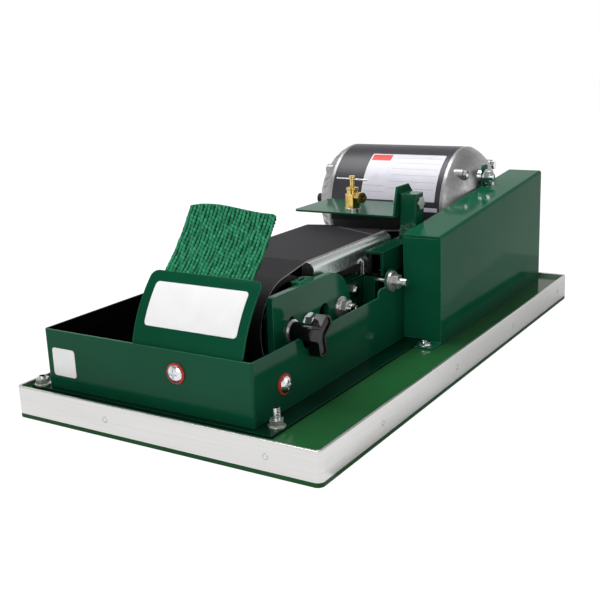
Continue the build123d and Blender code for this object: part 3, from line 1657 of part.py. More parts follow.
pieces = {
    "base_board": make_base_board,
    "edge_trim": make_edge_trim,
    "tank_base_plate": make_tank_base_plate,
    "water_tank": make_water_tank,
    "tank_studs": make_tank_studs,
    "tank_nuts": make_tank_nuts,
    "drain_screws": make_drain_screws,
    "sealing_washers": make_sealing_washers,
    "splash_guard": make_splash_guard,
    "splash_cloth": make_splash_cloth,
    "drum_frame": make_drum_frame,
    "side_plate": make_side_plate,
    "side_plate_bolts": make_side_plate_bolts,
    "tie_bolt": make_tie_bolt,
    "tie_nut": make_tie_nut,
    "platen": make_platen,
    "platen_bolts": make_platen_bolts,
    "bearing_housing": make_bearing_housing,
    "housing_bolts": make_housing_bolts,
    "drive_bearings": make_drive_bearings,
    "drive_shaft": make_drive_shaft,
    "drive_drum": make_drive_drum,
    "drive_pulley": make_drive_pulley,
    "idler_drum": make_idler_drum,
    "idler_bearings": make_idler_bearings,
    "abrasive_belt": make_abrasive_belt,
    "tension_arm": make_tension_arm,
    "idler_axle": make_idler_axle,
    "axle_nut": make_axle_nut,
    "axle_ring": make_axle_ring,
    "pivot_bolt": make_pivot_bolt,
    "pivot_nut": make_pivot_nut,
    "clamp_stud": make_clamp_stud,
    "clamp_washers": make_clamp_washers,
    "clamp_knob": make_clamp_knob,
    "v_belt": make_v_belt,
    "motor_pulley": make_motor_pulley,
    "belt_guard": make_belt_guard,
    "guard_fasteners": make_guard_fasteners,
    "motor_rails": make_motor_rails,
    "motor_base": make_motor_base,
    "motor_bolts": make_motor_bolts,
    "motor_shell": make_motor_shell,
    "drive_end_bell": make_drive_end_bell,
    "rear_end_bell": make_rear_end_bell,
    "cord_gland": make_cord_gland,
    "through_bolts": make_through_bolts,
    "motor_stator": make_motor_stator,
    "motor_bearings": make_motor_bearings,
    "motor_shaft": make_motor_shaft,
    "motor_rotor": make_motor_rotor,
    "hood_post": make_hood_post,
    "hood_bolt": make_hood_bolt,
    "hood": make_hood,
    "hood_curtain": make_hood_curtain,
    "valve_ring": make_valve_ring,
    "valve_body": make_valve_body,
    "valve_stem": make_valve_stem,
    "valve_handle": make_valve_handle,
}

os.makedirs("parts", exist_ok=True)
for name, make in pieces.items():
    export_step(make(), f"parts/{name}.step")
print(len(pieces), "pieces on a board of", round(base_width, 1), "by", round(base_length, 1), "mm")
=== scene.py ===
# %% [markdown]
# # Dressing a wet belt sander
# A wet belt sander grinds stone or glass on an abrasive belt that runs through a shallow water tank.
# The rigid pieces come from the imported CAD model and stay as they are. This lesson gives each of them
# a finish, makes the soft and thin pieces that CAD leaves plain, and lights them like a catalogue photo.

# %% Load the packed sander
import math
import random

import bpy
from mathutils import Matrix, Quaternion, Vector


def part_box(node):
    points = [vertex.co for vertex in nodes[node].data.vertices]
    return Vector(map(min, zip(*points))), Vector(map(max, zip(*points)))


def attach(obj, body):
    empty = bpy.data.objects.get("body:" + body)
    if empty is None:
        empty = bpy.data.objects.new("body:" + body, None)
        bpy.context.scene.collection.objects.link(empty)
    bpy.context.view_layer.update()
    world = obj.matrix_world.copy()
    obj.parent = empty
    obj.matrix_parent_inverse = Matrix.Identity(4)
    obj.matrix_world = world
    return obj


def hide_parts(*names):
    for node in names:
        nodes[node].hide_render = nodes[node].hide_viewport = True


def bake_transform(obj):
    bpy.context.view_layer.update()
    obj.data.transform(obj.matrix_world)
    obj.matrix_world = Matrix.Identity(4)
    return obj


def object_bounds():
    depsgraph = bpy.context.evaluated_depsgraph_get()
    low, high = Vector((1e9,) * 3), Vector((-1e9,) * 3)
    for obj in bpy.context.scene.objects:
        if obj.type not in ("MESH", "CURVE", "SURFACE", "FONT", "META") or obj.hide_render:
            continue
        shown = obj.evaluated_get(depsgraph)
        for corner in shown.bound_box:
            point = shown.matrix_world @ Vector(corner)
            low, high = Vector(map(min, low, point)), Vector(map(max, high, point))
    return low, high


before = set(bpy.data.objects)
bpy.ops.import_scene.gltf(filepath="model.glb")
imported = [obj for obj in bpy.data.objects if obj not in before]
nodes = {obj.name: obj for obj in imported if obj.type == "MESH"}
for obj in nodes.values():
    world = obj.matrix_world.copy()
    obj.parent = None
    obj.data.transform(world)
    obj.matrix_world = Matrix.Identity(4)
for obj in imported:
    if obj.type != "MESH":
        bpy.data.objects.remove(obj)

cad_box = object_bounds()
MM = 0.001
bpy.ops.object.select_all(action="DESELECT")
print("loaded", len(nodes), "nodes,", [round((high - low) / MM) for low, high in zip(*cad_box)], "mm")

# %% [markdown]
# ## Camera
# The photo was taken from the front right, a little above the machine, with the camera rolled by about
# two degrees. A camera can be set by eye or from numbers. Here a turn, a tilt and a distance from one
# point on the machine give its place, so each of them can be changed by itself.

# %% Place the camera
look_at = Vector((-54.7, 19.5, 44.0)) * MM
camera_turn = math.radians(32.65)
camera_tilt = math.radians(15.12)
camera_roll = math.radians(-2.35)
camera_distance = 1098.2 * MM
camera_lens = 57.71
towards_camera = Vector((math.sin(camera_turn) * math.cos(camera_tilt),
                         -math.cos(camera_turn) * math.cos(camera_tilt),
                         math.sin(camera_tilt)))
bpy.ops.object.camera_add(location=look_at + camera_distance * towards_camera)
camera = bpy.context.object
camera.rotation_mode = "QUATERNION"
level_aim = (-towards_camera).to_track_quat("-Z", "Y")
camera.rotation_quaternion = level_aim @ Quaternion((0, 0, 1), camera_roll)
camera.data.lens = camera_lens
bpy.context.scene.camera = camera
print("camera at", [round(value, 3) for value in camera.location])

# %% [markdown]
# ## Studio
# The photo has a pure white background, and the glossy paint mirrors it. A white world could light the
# whole scene, but then no side would be darker than another. So the world and the floor look white only
# to the camera and to reflections. A softbox above, two fills and a dim world light the machine. On its
# right the machine shades the floor, and its trim mirrors that. The floor stays white in the picture, so a
# grey card lies there that only reflections see.

# %% World and floor that look white
studio = bpy.context.scene
studio.view_settings.view_transform = "Standard"


def calculate(tree, operation, *values):
    """The result of a Math node whose inputs are linked to outputs or set to plain numbers."""
    node = tree.nodes.new("ShaderNodeMath")
    node.operation = operation
    for socket, value in zip(node.inputs, values):
        if isinstance(value, (int, float)):
            socket.default_value = value
        else:
            tree.links.new(value, socket)
    return node.outputs[0]


def seen_directly(tree):
    """One for rays from the camera, from gloss or through glass, and zero for light that bounces softly."""
    path = tree.nodes.new("ShaderNodeLightPath")
    total = path.outputs["Is Camera Ray"]
    for name in ("Is Glossy Ray", "Is Transmission Ray"):
        total = calculate(tree, "MAXIMUM", total, path.outputs[name])
    return total


world_strength = 0.2
sweep_height = 0.22
ceiling_height = 0.7
ceiling_grey = 0.2
studio.world = bpy.data.worlds.new("white_studio")
studio.world.use_nodes = True
sky = studio.world.node_tree
dim_sky = sky.nodes["Background"]
dim_sky.inputs["Color"].default_value = (1, 1, 1, 1)
dim_sky.inputs["Strength"].default_value = world_strength
white_sky = sky.nodes.new("ShaderNodeBackground")
sky_direction = sky.nodes.new("ShaderNodeTexCoord")
sky_height = sky.nodes.new("ShaderNodeSeparateXYZ")
sky.links.new(sky_direction.outputs["Generated"], sky_height.inputs[0])
sky_shades = sky.nodes.new("ShaderNodeValToRGB")
sky_shades.color_ramp.elements[0].position = sweep_height
sky_shades.color_ramp.elements[0].color = (1, 1, 1, 1)
sky_shades.color_ramp.elements[1].position = ceiling_height
sky_shades.color_ramp.elements[1].color = (ceiling_grey, ceiling_grey, ceiling_grey, 1)
sky.links.new(sky_height.outputs["Z"], sky_shades.inputs["Fac"])
sky.links.new(sky_shades.outputs["Color"], white_sky.inputs["Color"])
sky_choice = sky.nodes.new("ShaderNodeMixShader")
sky.links.new(seen_directly(sky), sky_choice.inputs["Fac"])
sky.links.new(dim_sky.outputs[0], sky_choice.inputs[1])
sky.links.new(white_sky.outputs[0], sky_choice.inputs[2])
sky.links.new(sky_choice.outputs[0], sky.nodes["World Output"].inputs["Surface"])

floor_size = 12.0
floor_grey = 0.85
floor_shadow = 0.18
floor_glow = 1.17
paper_roughness = 0.9
bpy.ops.mesh.primitive_plane_add(size=floor_size)
floor = bpy.context.object
floor.name = "studio_floor"
floor_paper = bpy.data.materials.new("floor_paper")
floor_paper.use_nodes = True
paper = floor_paper.node_tree
paper_shader = paper.nodes["Principled BSDF"]
paper_shader.inputs["Base Color"].default_value = (floor_grey, floor_grey, floor_grey, 1)
paper_shader.inputs["Roughness"].default_value = paper_roughness
paper_glow = paper.nodes.new("ShaderNodeEmission")
paper_glow.inputs["Strength"].default_value = floor_glow
paper_share = calculate(paper, "MULTIPLY", seen_directly(paper), 1 - floor_shadow)
paper_mix = paper.nodes.new("ShaderNodeMixShader")
paper.links.new(paper_share, paper_mix.inputs["Fac"])
paper.links.new(paper_shader.outputs[0], paper_mix.inputs[1])
paper.links.new(paper_glow.outputs[0], paper_mix.inputs[2])
paper.links.new(paper_mix.outputs[0], paper.nodes["Material Output"].inputs["Surface"])
floor.data.materials.append(floor_paper)
print("floor of", floor_size, "m, world strength", world_strength)

# %% Shadow card on the right
machine_right = cad_box[1][0]
card_width = 0.1
card_length = 0.8
card_middle = 0.12
card_taper = 0.1
card_grey = 0.76
bpy.ops.mesh.primitive_plane_add(size=1, location=(machine_right + card_width / 2, card_middle, MM))
card = bpy.context.object
card.name = "shadow_card"
card.scale = (card_width, card_length, 1)
bpy.ops.object.transform_apply()
for vertex in card.data.vertices:
    if vertex.co.y < card_middle:
        vertex.co.x = machine_right + card_taper * (vertex.co.x - machine_right)
card.visible_camera = False
card.visible_diffuse = False
card.visible_shadow = False
card_paper = bpy.data.materials.new("card_paper")
card_paper.use_nodes = True
card_shader = card_paper.node_tree.nodes["Principled BSDF"]
card_shader.inputs["Base Color"].default_value = (card_grey, card_grey, card_grey, 1)
card_shader.inputs["Roughness"].default_value = paper_roughness
card.data.materials.append(card_paper)
print("card of", card_width, "by", card_length, "m")

# %% Softboxes


def softbox(name, place, size, power):
    """A square lamp that looks at the middle of the machine."""
    bpy.ops.object.light_add(type="AREA", location=place)
    lamp = bpy.context.object
    lamp.name = name
    lamp.data.size = size
    lamp.data.energy = power
    lamp.rotation_mode = "QUATERNION"
    lamp.rotation_quaternion = (look_at - Vector(place)).to_track_quat("-Z", "Y")
    return lamp


softbox("softbox_above", (-0.5, 0.0, 1.85), 1.3, 33.0)
softbox("fill_front", (0.4, -1.5, 0.8), 0.9, 7.5)
softbox("fill_right", (1.6, 0.5, 0.7), 1.0, 3.5)
print("three softboxes")

# %% [markdown]
# ## Building blocks for finishes
# Real paint, metal and rubber are never one flat colour. Each finish starts from the Principled shader
# and gets cloudy noise for its colour, its gloss and its relief. All patterns read Object coordinates,
# in metres, so a scale of 1000 gives a grain of about a millimetre.

# %% Helpers that wire a finish


def new_finish(name, roughness=0.5, metallic=0.0, refraction=1.45):
    """A material with its constant values set on the shader itself."""
    finish = bpy.data.materials.new(name)
    finish.use_nodes = True
    shader = finish.node_tree.nodes["Principled BSDF"]
    shader.inputs["Roughness"].default_value = roughness
    shader.inputs["Metallic"].default_value = metallic
    shader.inputs["IOR"].default_value = refraction
    return finish


def shader_of(finish):
    return finish.node_tree.nodes["Principled BSDF"]


def stretched(finish, stretch=(1, 1, 1), turn=(0, 0, 0)):
    """Object coordinates, stretched along each axis."""
    tree = finish.node_tree
    coords = tree.nodes.new("ShaderNodeTexCoord")
    mapping = tree.nodes.new("ShaderNodeMapping")
    mapping.inputs["Scale"].default_value = stretch
    mapping.inputs["Rotation"].default_value = turn
    tree.links.new(coords.outputs["Object"], mapping.inputs["Vector"])
    return mapping.outputs["Vector"]


def clouds(finish, scale, stretch=(1, 1, 1), detail=3.0):
    """Soft noise between zero and one."""
    tree = finish.node_tree
    noise = tree.nodes.new("ShaderNodeTexNoise")
    noise.inputs["Scale"].default_value = scale
    noise.inputs["Detail"].default_value = detail
    tree.links.new(stretched(finish, stretch), noise.inputs["Vector"])
    return noise.outputs["Fac"]


def two_tones(finish, pattern, low, high, start=0.3, end=0.7):
    """A colour that goes from low to high with the pattern."""
    ramp = finish.node_tree.nodes.new("ShaderNodeValToRGB")
    ramp.color_ramp.elements[0].position = start
    ramp.color_ramp.elements[0].color = (*low, 1)
    ramp.color_ramp.elements[1].position = end
    ramp.color_ramp.elements[1].color = (*high, 1)
    finish.node_tree.links.new(pattern, ramp.inputs["Fac"])
    return ramp.outputs["Color"]


def ranged(finish, pattern, low, high, start=0.3, end=0.7):
    """A number that goes from low to high with the pattern."""
    spread = finish.node_tree.nodes.new("ShaderNodeMapRange")
    for name, value in zip(("From Min", "From Max", "To Min", "To Max"), (start, end, low, high)):
        spread.inputs[name].default_value = value
    finish.node_tree.links.new(pattern, spread.inputs["Value"])
    return spread.outputs["Result"]


def over(finish, share, under, top):
    """The top colour laid over the one under it, where share is one."""
    mix = finish.node_tree.nodes.new("ShaderNodeMix")
    mix.data_type = "RGBA"
    links = finish.node_tree.links
    links.new(share, mix.inputs["Factor"])
    links.new(under, mix.inputs["A"])
    mix.inputs["B"].default_value = (*top, 1)
    return mix.outputs["Result"]


def wire(finish, output, socket):
    finish.node_tree.links.new(output, shader_of(finish).inputs[socket])


edge_samples = 4


def rounded_edges(finish, radius):
    """Normals that turn smoothly over sharp edges, so that edges catch the light."""
    bevel = finish.node_tree.nodes.new("ShaderNodeBevel")
    bevel.samples = edge_samples
    bevel.inputs["Radius"].default_value = radius
    return bevel.outputs["Normal"]


def edge_share(finish, radius):
    """One close to an edge and zero on a flat face."""
    tree = finish.node_tree
    geometry = tree.nodes.new("ShaderNodeNewGeometry")
    dot = tree.nodes.new("ShaderNodeVectorMath")
    dot.operation = "DOT_PRODUCT"
    tree.links.new(rounded_edges(finish, radius), dot.inputs[0])
    tree.links.new(geometry.outputs["Normal"], dot.inputs[1])
    return ranged(finish, dot.outputs["Value"], 1.0, 0.0, 0.75, 0.98)


def bumped(finish, height, depth, normal):
    """A normal that follows bumps of this depth."""
    bump = finish.node_tree.nodes.new("ShaderNodeBump")
    bump.inputs["Distance"].default_value = depth
    bump.inputs["Strength"].default_value = 1.0
    finish.node_tree.links.new(height, bump.inputs["Height"])
    finish.node_tree.links.new(normal, bump.inputs["Normal"])
    return bump.outputs["Normal"]


sway_scale = 13


def relief(finish, height, depth, edges=0.6 * MM, sway=0.0):
    """Small bumps over rounded edges, on a sheet that sways slowly if a sway is given."""
    normal = rounded_edges(finish, edges)
    if sway:
        normal = bumped(finish, clouds(finish, sway_scale, detail=0.0), sway, normal)
    wire(finish, bumped(finish, height, depth, normal), "Normal")


print("helpers ready")

# %% [markdown]
# ## Green enamel
# The tank, guard, hood and drum frame are sprayed with a deep green gloss enamel. Sprayed paint has a
# very fine orange peel and mirrors the white studio. Its edges get a lighter green as a painted highlight.
# Inside the tank and the channel, where shade falls, the paint is painted near black as painted shade. That
# could be a second material, but a box in Object coordinates finds those faces without touching the mesh.

# %% Enamel on sheet metal
# The third green is much lighter: a painted highlight for the edges of the enamel.
deep_green, light_green, edge_highlight_green = (0.0033, 0.060, 0.028), (0.0048, 0.078, 0.038), (0.045, 0.24, 0.14)
# Near black: painted shade for the insides of the tank and the channel.
painted_shade_colour = (0.002, 0.003, 0.002)
edge_highlight_width = 1.4 * MM
folded_edge = 1.2 * MM
peel_depth = 0.006 * MM
sheet_sway = 0.5 * MM
paint_clouds, gloss_clouds, peel_clouds = 9, 60, 500


def inside_box(finish, low, high):
    """One between two corners, and zero outside."""
    tree = finish.node_tree
    fitted = tree.nodes.new("ShaderNodeMapping")
    fitted.vector_type = "TEXTURE"
    fitted.inputs["Location"].default_value = (low + high) / 2
    fitted.inputs["Scale"].default_value = (high - low) / 2
    tree.links.new(stretched(finish), fitted.inputs["Vector"])
    parts = tree.nodes.new("ShaderNodeSeparateXYZ")
    tree.links.new(fitted.outputs["Vector"], parts.inputs[0])
    inside = 1.0
    for axis in "XYZ":
        within = calculate(tree, "COMPARE", parts.outputs[axis], 0.0, 1.0)
        inside = calculate(tree, "MULTIPLY", inside, within)
    return inside


# A colour times a factor that stands in for light: painted light above one, painted shade below one.
def scaled_for_light(colour, painted_light_factor):
    return tuple(channel * painted_light_factor for channel in colour)


def enamel(name, painted_light_factor, roughness, refraction, wet=None):
    """Gloss paint, lighter or darker by a factor that paints light or shade on it, with painted shade between
    two corners if they are given.
    """
    finish = new_finish(name, refraction=refraction)
    pattern = clouds(finish, paint_clouds)
    paint = two_tones(finish, pattern, scaled_for_light(deep_green, painted_light_factor), scaled_for_light(light_green, painted_light_factor))
    # Painted highlight: a lighter green close to every edge.
    edge_highlight = edge_share(finish, edge_highlight_width)
    colour = over(finish, edge_highlight, paint, scaled_for_light(edge_highlight_green, min(painted_light_factor, 1)))
    if wet:
        colour = over(finish, inside_box(finish, *wet), colour, painted_shade_colour)
    wire(finish, colour, "Base Color")
    wire(finish, ranged(finish, clouds(finish, gloss_clouds), roughness, roughness + 0.06), "Roughness")
    relief(finish, clouds(finish, peel_clouds, detail=1.0), peel_depth, folded_edge, sway=sheet_sway)
    return finish


# The first number after each name lightens or darkens one green: the guard, the arm and post and the weld get
# painted light, the shaded pieces get painted shade.
green_enamel = enamel("green_enamel", 1.1, 0.06, 1.10)
guard_enamel = enamel("guard_enamel", 1.35, 0.06, 1.10)
arm_enamel = enamel("arm_enamel", 1.35, 0.06, 1.22)
bright_enamel = enamel("bright_enamel", 0.95, 0.12, 1.08)
shaded_enamel = enamel("shaded_enamel", 0.3, 0.08, 1.15)
weld_enamel = enamel("weld_enamel", 1.3, 0.1, 1.4)
print("green enamel in six coats")

# %% Enamel with painted shade inside
tank_low, tank_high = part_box("water_tank")
tank_wall = 1.6 * MM
past_wall = Vector((tank_wall, tank_wall, 0)) * 0.8
# Painted shade: the inside of the tank is painted near black.
tank_enamel = enamel("tank_enamel", 1.12, 0.06, 1.18, wet=(tank_low + past_wall, tank_high - past_wall))
frame_low, frame_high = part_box("drum_frame")
channel_wall = 3.0 * MM
channel_left = 66.0 * MM
channel_floor = 100.0 * MM
channel_margin = 0.3 * MM
inside_channel = (Vector((channel_left + channel_margin, frame_low.y, channel_floor - channel_margin)),
                  frame_high - Vector((channel_wall, 0, channel_wall)) * 0.9)
# The frame's green is darkened as painted shade, and the inside of the channel is painted near black as
# painted shade.
frame_enamel = enamel("frame_enamel", 0.62, 0.06, 1.15, wet=inside_channel)
print("wet inside the tank and the channel")

# %% Paint on the board
board_dark, board_light = (0.010, 0.059, 0.017), (0.017, 0.102, 0.031)
board_grain = 0.015 * MM
board_paint = new_finish("board_paint", refraction=1.17)
board_colour = two_tones(board_paint, clouds(board_paint, paint_clouds), board_dark, board_light)
wire(board_paint, board_colour, "Base Color")
wire(board_paint, ranged(board_paint, clouds(board_paint, gloss_clouds), 0.09, 0.15), "Roughness")
relief(board_paint, clouds(board_paint, 300, detail=2.0), board_grain, folded_edge)
print("board painted")

# %% [markdown]
# ## Bare metals
# The edge trim is extruded aluminium with fine lines along its length, the platen is galvanised sheet
# with its crystal spangle, and the nuts and bolts are bright zinc. Metal is told apart by its gloss and
# its relief far more than by its colour, so each gets a relief of its own.

# %% Metal finishes


def metal(name, dark, bright, roughness, scale=25, stretch=(1, 1, 1), depth=0.01 * MM, edges=0.5 * MM):
    finish = new_finish(name, metallic=1.0)
    pattern = clouds(finish, scale, stretch)
    wire(finish, two_tones(finish, pattern, dark, bright), "Base Color")
    wire(finish, ranged(finish, pattern, roughness + 0.08, roughness - 0.04), "Roughness")
    relief(finish, pattern, depth, edges)
    return finish


trim_lines = (1, 1, 60)
trim_aluminium = metal("trim_aluminium", (0.64, 0.635, 0.625), (0.68, 0.675, 0.665), 0.34, 12, trim_lines,
                       depth=0.001 * MM)
bright_zinc = metal("bright_zinc", (0.66, 0.68, 0.70), (0.74, 0.76, 0.78), 0.16, 60, depth=0.002 * MM)
ground_steel = metal("ground_steel", (0.42, 0.42, 0.43), (0.62, 0.62, 0.62), 0.24, 90, (1, 6, 6))
polished_brass = metal("polished_brass", (0.45, 0.29, 0.06), (0.72, 0.52, 0.18), 0.16, 160)
cast_iron = metal("cast_iron", (0.07, 0.07, 0.07), (0.13, 0.13, 0.13), 0.45, 300, depth=0.05 * MM)
turned_drum = metal("turned_drum", (0.02, 0.02, 0.02), (0.05, 0.05, 0.05), 0.5, 30, (60, 1, 1))
laminations = metal("laminations", (0.13, 0.13, 0.14), (0.24, 0.24, 0.25), 0.5, 20, (100, 1, 1))
cast_bell = metal("cast_bell", (0.31, 0.305, 0.305), (0.40, 0.395, 0.395), 0.38, 220, depth=0.03 * MM,
                  edges=1.2 * MM)
shader_of(cast_bell).inputs["Metallic"].default_value = 0.75
dull_zinc = metal("dull_zinc", (0.50, 0.50, 0.485), (0.62, 0.62, 0.60), 0.26, 60, depth=0.002 * MM)
shader_of(dull_zinc).inputs["Metallic"].default_value = 0.85

galvanised = new_finish("galvanised", metallic=0.95)
spangle = galvanised.node_tree.nodes.new("ShaderNodeTexVoronoi")
spangle.inputs["Scale"].default_value = 160
galvanised.node_tree.links.new(stretched(galvanised), spangle.inputs["Vector"])
crystal = galvanised.node_tree.nodes.new("ShaderNodeSeparateColor")
galvanised.node_tree.links.new(spangle.outputs["Color"], crystal.inputs["Color"])
wire(galvanised, two_tones(galvanised, crystal.outputs[0], (0.65, 0.70, 0.69), (0.67, 0.72, 0.71), 0, 1),
     "Base Color")
wire(galvanised, ranged(galvanised, crystal.outputs[1], 0.25, 0.28, 0, 1), "Roughness")
relief(galvanised, clouds(galvanised, 120), 0.001 * MM, 0.8 * MM)
print("ten metals")

# %% [markdown]
# ## Rubber, plastic, motor paint and fibre
# The V-belt and curtain are matt black rubber, the knob is moulded black plastic, and the red washers are
# pressed fibre. They differ mostly in gloss, so one helper with a dull or a shiny value serves them all.

# %% Dull and shiny dark finishes


def moulded(name, dark, light, roughness, scale, depth, refraction=1.45):
    finish = new_finish(name, refraction=refraction)
    pattern = clouds(finish, scale)
    wire(finish, two_tones(finish, pattern, dark, light), "Base Color")
    wire(finish, ranged(finish, pattern, roughness - 0.05, roughness + 0.08), "Roughness")
    relief(finish, pattern, depth, 0.8 * MM)
    return finish


black_rubber = moulded("black_rubber", (0.008, 0.008, 0.008), (0.016, 0.016, 0.016), 0.7, 400, 0.04 * MM)
black_plastic = moulded("black_plastic", (0.003, 0.003, 0.0035), (0.005, 0.005, 0.0055), 0.13, 250,
                        0.003 * MM, refraction=1.27)
motor_paint = moulded("motor_paint", (0.026, 0.024, 0.031), (0.034, 0.031, 0.041), 0.36, 350, 0.02 * MM)
red_fibre = moulded("red_fibre", (0.42, 0.02, 0.015), (0.60, 0.045, 0.035), 0.6, 500, 0.03 * MM)
print("rubber, plastic, motor paint and fibre")

# %% [markdown]
# ## Abrasive belt
# The belt is dark grit on a cloth backing. Its cut edge shows the paler backing, and a slanted joint runs
# across it where its two ends are taped together. The grit is a fine noise in colour and relief. The edge
# is picked out by its sideways normal, and the joint by its distance from a line across the belt.

# %% Grit, cut edge and joint
abrasive = new_finish("abrasive", roughness=0.55, refraction=1.15)
grit = clouds(abrasive, 1500, detail=2.0)
grit_colour = two_tones(abrasive, grit, (0.012, 0.0115, 0.013), (0.034, 0.032, 0.036), 0.35, 0.65)

joint_start = Vector((-29.8, 32.5, 0.0)) * MM
joint_end = Vector((43.4, -0.1, 0.0)) * MM
joint_width = 0.9 * MM
joint_tape, belt_backing = (0.13, 0.125, 0.13), (0.50, 0.46, 0.45)
joint_across = (joint_end - joint_start).cross(Vector((0, 0, 1))).normalized()
abrasive_tree = abrasive.node_tree
joint_distance = abrasive_tree.nodes.new("ShaderNodeVectorMath")
joint_distance.operation = "DOT_PRODUCT"
abrasive_tree.links.new(stretched(abrasive), joint_distance.inputs[0])
joint_distance.inputs[1].default_value = joint_across
joint_line = calculate(abrasive_tree, "COMPARE", joint_distance.outputs["Value"],
                       joint_start.dot(joint_across), joint_width)

facing = abrasive_tree.nodes.new("ShaderNodeTexCoord")
facing_parts = abrasive_tree.nodes.new("ShaderNodeSeparateXYZ")
abrasive_tree.links.new(facing.outputs["Normal"], facing_parts.inputs[0])
upwards = ranged(abrasive, facing_parts.outputs["Z"], 0, 1, 0.9, 0.95)
joint_on_top = calculate(abrasive_tree, "MULTIPLY", joint_line, upwards)
with_joint = over(abrasive, joint_on_top, grit_colour, joint_tape)
sideways = calculate(abrasive_tree, "ABSOLUTE", facing_parts.outputs["X"])
cut_edge = ranged(abrasive, sideways, 0, 1, 0.8, 0.9)
wire(abrasive, over(abrasive, cut_edge, with_joint, belt_backing), "Base Color")
relief(abrasive, grit, 0.15 * MM, 0.3 * MM)
print("belt joint", round((joint_end - joint_start).length / MM), "mm long")

# %% [markdown]
# ## Finishes on the CAD pieces
# The CAD nodes in the list below now get their finishes. The list goes by finish, as a paint shop would sort
# the pieces.

# %% Paint the pieces
finishes = {
    tank_enamel: ["water_tank"],
    frame_enamel: ["drum_frame"],
    arm_enamel: ["tension_arm", "hood_post"],
    guard_enamel: ["belt_guard"],
    green_enamel: ["motor_rails", "hood"],
    shaded_enamel: ["tank_base_plate", "side_plate", "bearing_housing"],
    bright_enamel: ["splash_guard"],
    board_paint: ["base_board"],
    trim_aluminium: ["edge_trim"],
    bright_zinc: ["tank_studs", "drain_screws", "side_plate_bolts", "tie_bolt", "platen_bolts",
                  "housing_bolts", "axle_nut", "pivot_bolt", "clamp_stud", "guard_fasteners", "motor_bolts",
                  "through_bolts", "hood_bolt", "valve_ring", "valve_handle"],
    dull_zinc: ["tank_nuts", "tie_nut", "pivot_nut", "clamp_washers"],
    ground_steel: ["drive_bearings", "drive_shaft", "idler_bearings", "idler_axle", "axle_ring",
                   "motor_bearings", "motor_shaft"],
    polished_brass: ["valve_body", "valve_stem"],
    cast_iron: ["drive_pulley", "motor_pulley"],
    turned_drum: ["drive_drum", "idler_drum"],
    laminations: ["motor_stator", "motor_rotor"],
    cast_bell: ["drive_end_bell", "rear_end_bell"],
    galvanised: ["platen"],
    black_rubber: ["v_belt", "hood_curtain", "cord_gland"],
    black_plastic: ["clamp_knob"],
    motor_paint: ["motor_base", "motor_shell"],
    red_fibre: ["sealing_washers"],
    abrasive: ["abrasive_belt"],
}
for finish, names in finishes.items():
    for name in names:
        for slot in nodes[name].material_slots:
            slot.material = finish
painted = [name for names in finishes.values() for name in names]
print(len(painted), "nodes painted, left for a new piece:", sorted(set(nodes) - set(painted)))

# %% [markdown]
# ## Woven cloth flap
# A flap of coarse green webbing hangs over the splash guard's back and stands up behind it. It wipes the
# spray off the belt. Cloth simulation would make it fall flat, so it is a grid bent along the guard's
# curve, with a rib for each cord of the weave. The height of each point is kept as an attribute, and the
# finish uses it for painted shade in the gaps between the cords and a painted highlight on the loops.

# %% The flap's curve
flap_low, flap_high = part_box("splash_cloth")
bend_middle = Vector((0, -164.43, 49.91)) * MM
bend_radius = 122.2 * MM
bend_start = math.radians(28)
bend_end = math.radians(47.6)
free_radius = 240.0 * MM
free_length = 65.3 * MM
flap_left = flap_low.x
flap_width = flap_high.x - flap_low.x
bend_length = bend_radius * (bend_end - bend_start)
flap_length = bend_length + free_length


def flap_point(along):
    """Place and outward direction at a length along the flap from its lower end."""
    if along < bend_length:
        angle = bend_start + along / bend_radius
        out = Vector((0, -math.cos(angle), math.sin(angle)))
        return bend_middle + bend_radius * out, out
    angle = bend_end - (along - bend_length) / free_radius
    out = Vector((0, -math.cos(angle), math.sin(angle)))
    end = Vector((0, -math.cos(bend_end), math.sin(bend_end)))
    far_middle = bend_middle + (bend_radius + free_radius) * end
    return far_middle - free_radius * out, out


print("flap", round(flap_width / MM), "by", round(flap_length / MM), "mm")

# %% Weave it
cords = 24
loops = 32
points_per_cord = 6
points_per_loop = 5
loop_slant = 0.45
loop_sizes = (0.45, 1.0, 0.8)
half_cord, half_loop = 0.53, 0.68
cord_wander, wander_pace = 0.12, 0.9
rib_height = 1.2 * MM
top_heights = [1.7 * MM, 4.4 * MM, 1.0 * MM, -0.7 * MM]
top_corner, corner_start = 2.2 * MM, 0.95
frayed = 0.3 * MM
weaver = random.Random(7)
cord_shift = [weaver.random() for cord in range(cords)]
cord_sway = [weaver.uniform(0, 2 * math.pi) for cord in range(cords)]
loop_size = {}


def top_edge(side):
    """How much longer than its drawing the flap is, on a smooth curve through the top heights."""
    last = len(top_heights) - 1
    height = -top_corner * (max(0.0, side - corner_start) / (1 - corner_start)) ** 2
    for number, value in enumerate(top_heights):
        for other in range(last + 1):
            if other != number:
                value *= (side * last - other) / (number - other)
        height += value
    return height


def weave_height(across, along):
    """Height of the weave between zero in a gap and one on a loop, for a place counted in cords and loops."""
    cord = min(math.floor(across), cords - 1)
    from_middle = across - cord - 0.5 + cord_wander * math.sin(wander_pace * along + cord_sway[cord])
    place = along + cord_shift[cord] + loop_slant * from_middle
    loop = round(place)
    size = loop_size.setdefault((cord, loop), weaver.triangular(*loop_sizes))
    bulge = 1 - (from_middle / half_cord) ** 2 - ((place - loop) / half_loop) ** 2
    return size * math.sqrt(max(0.0, bulge))


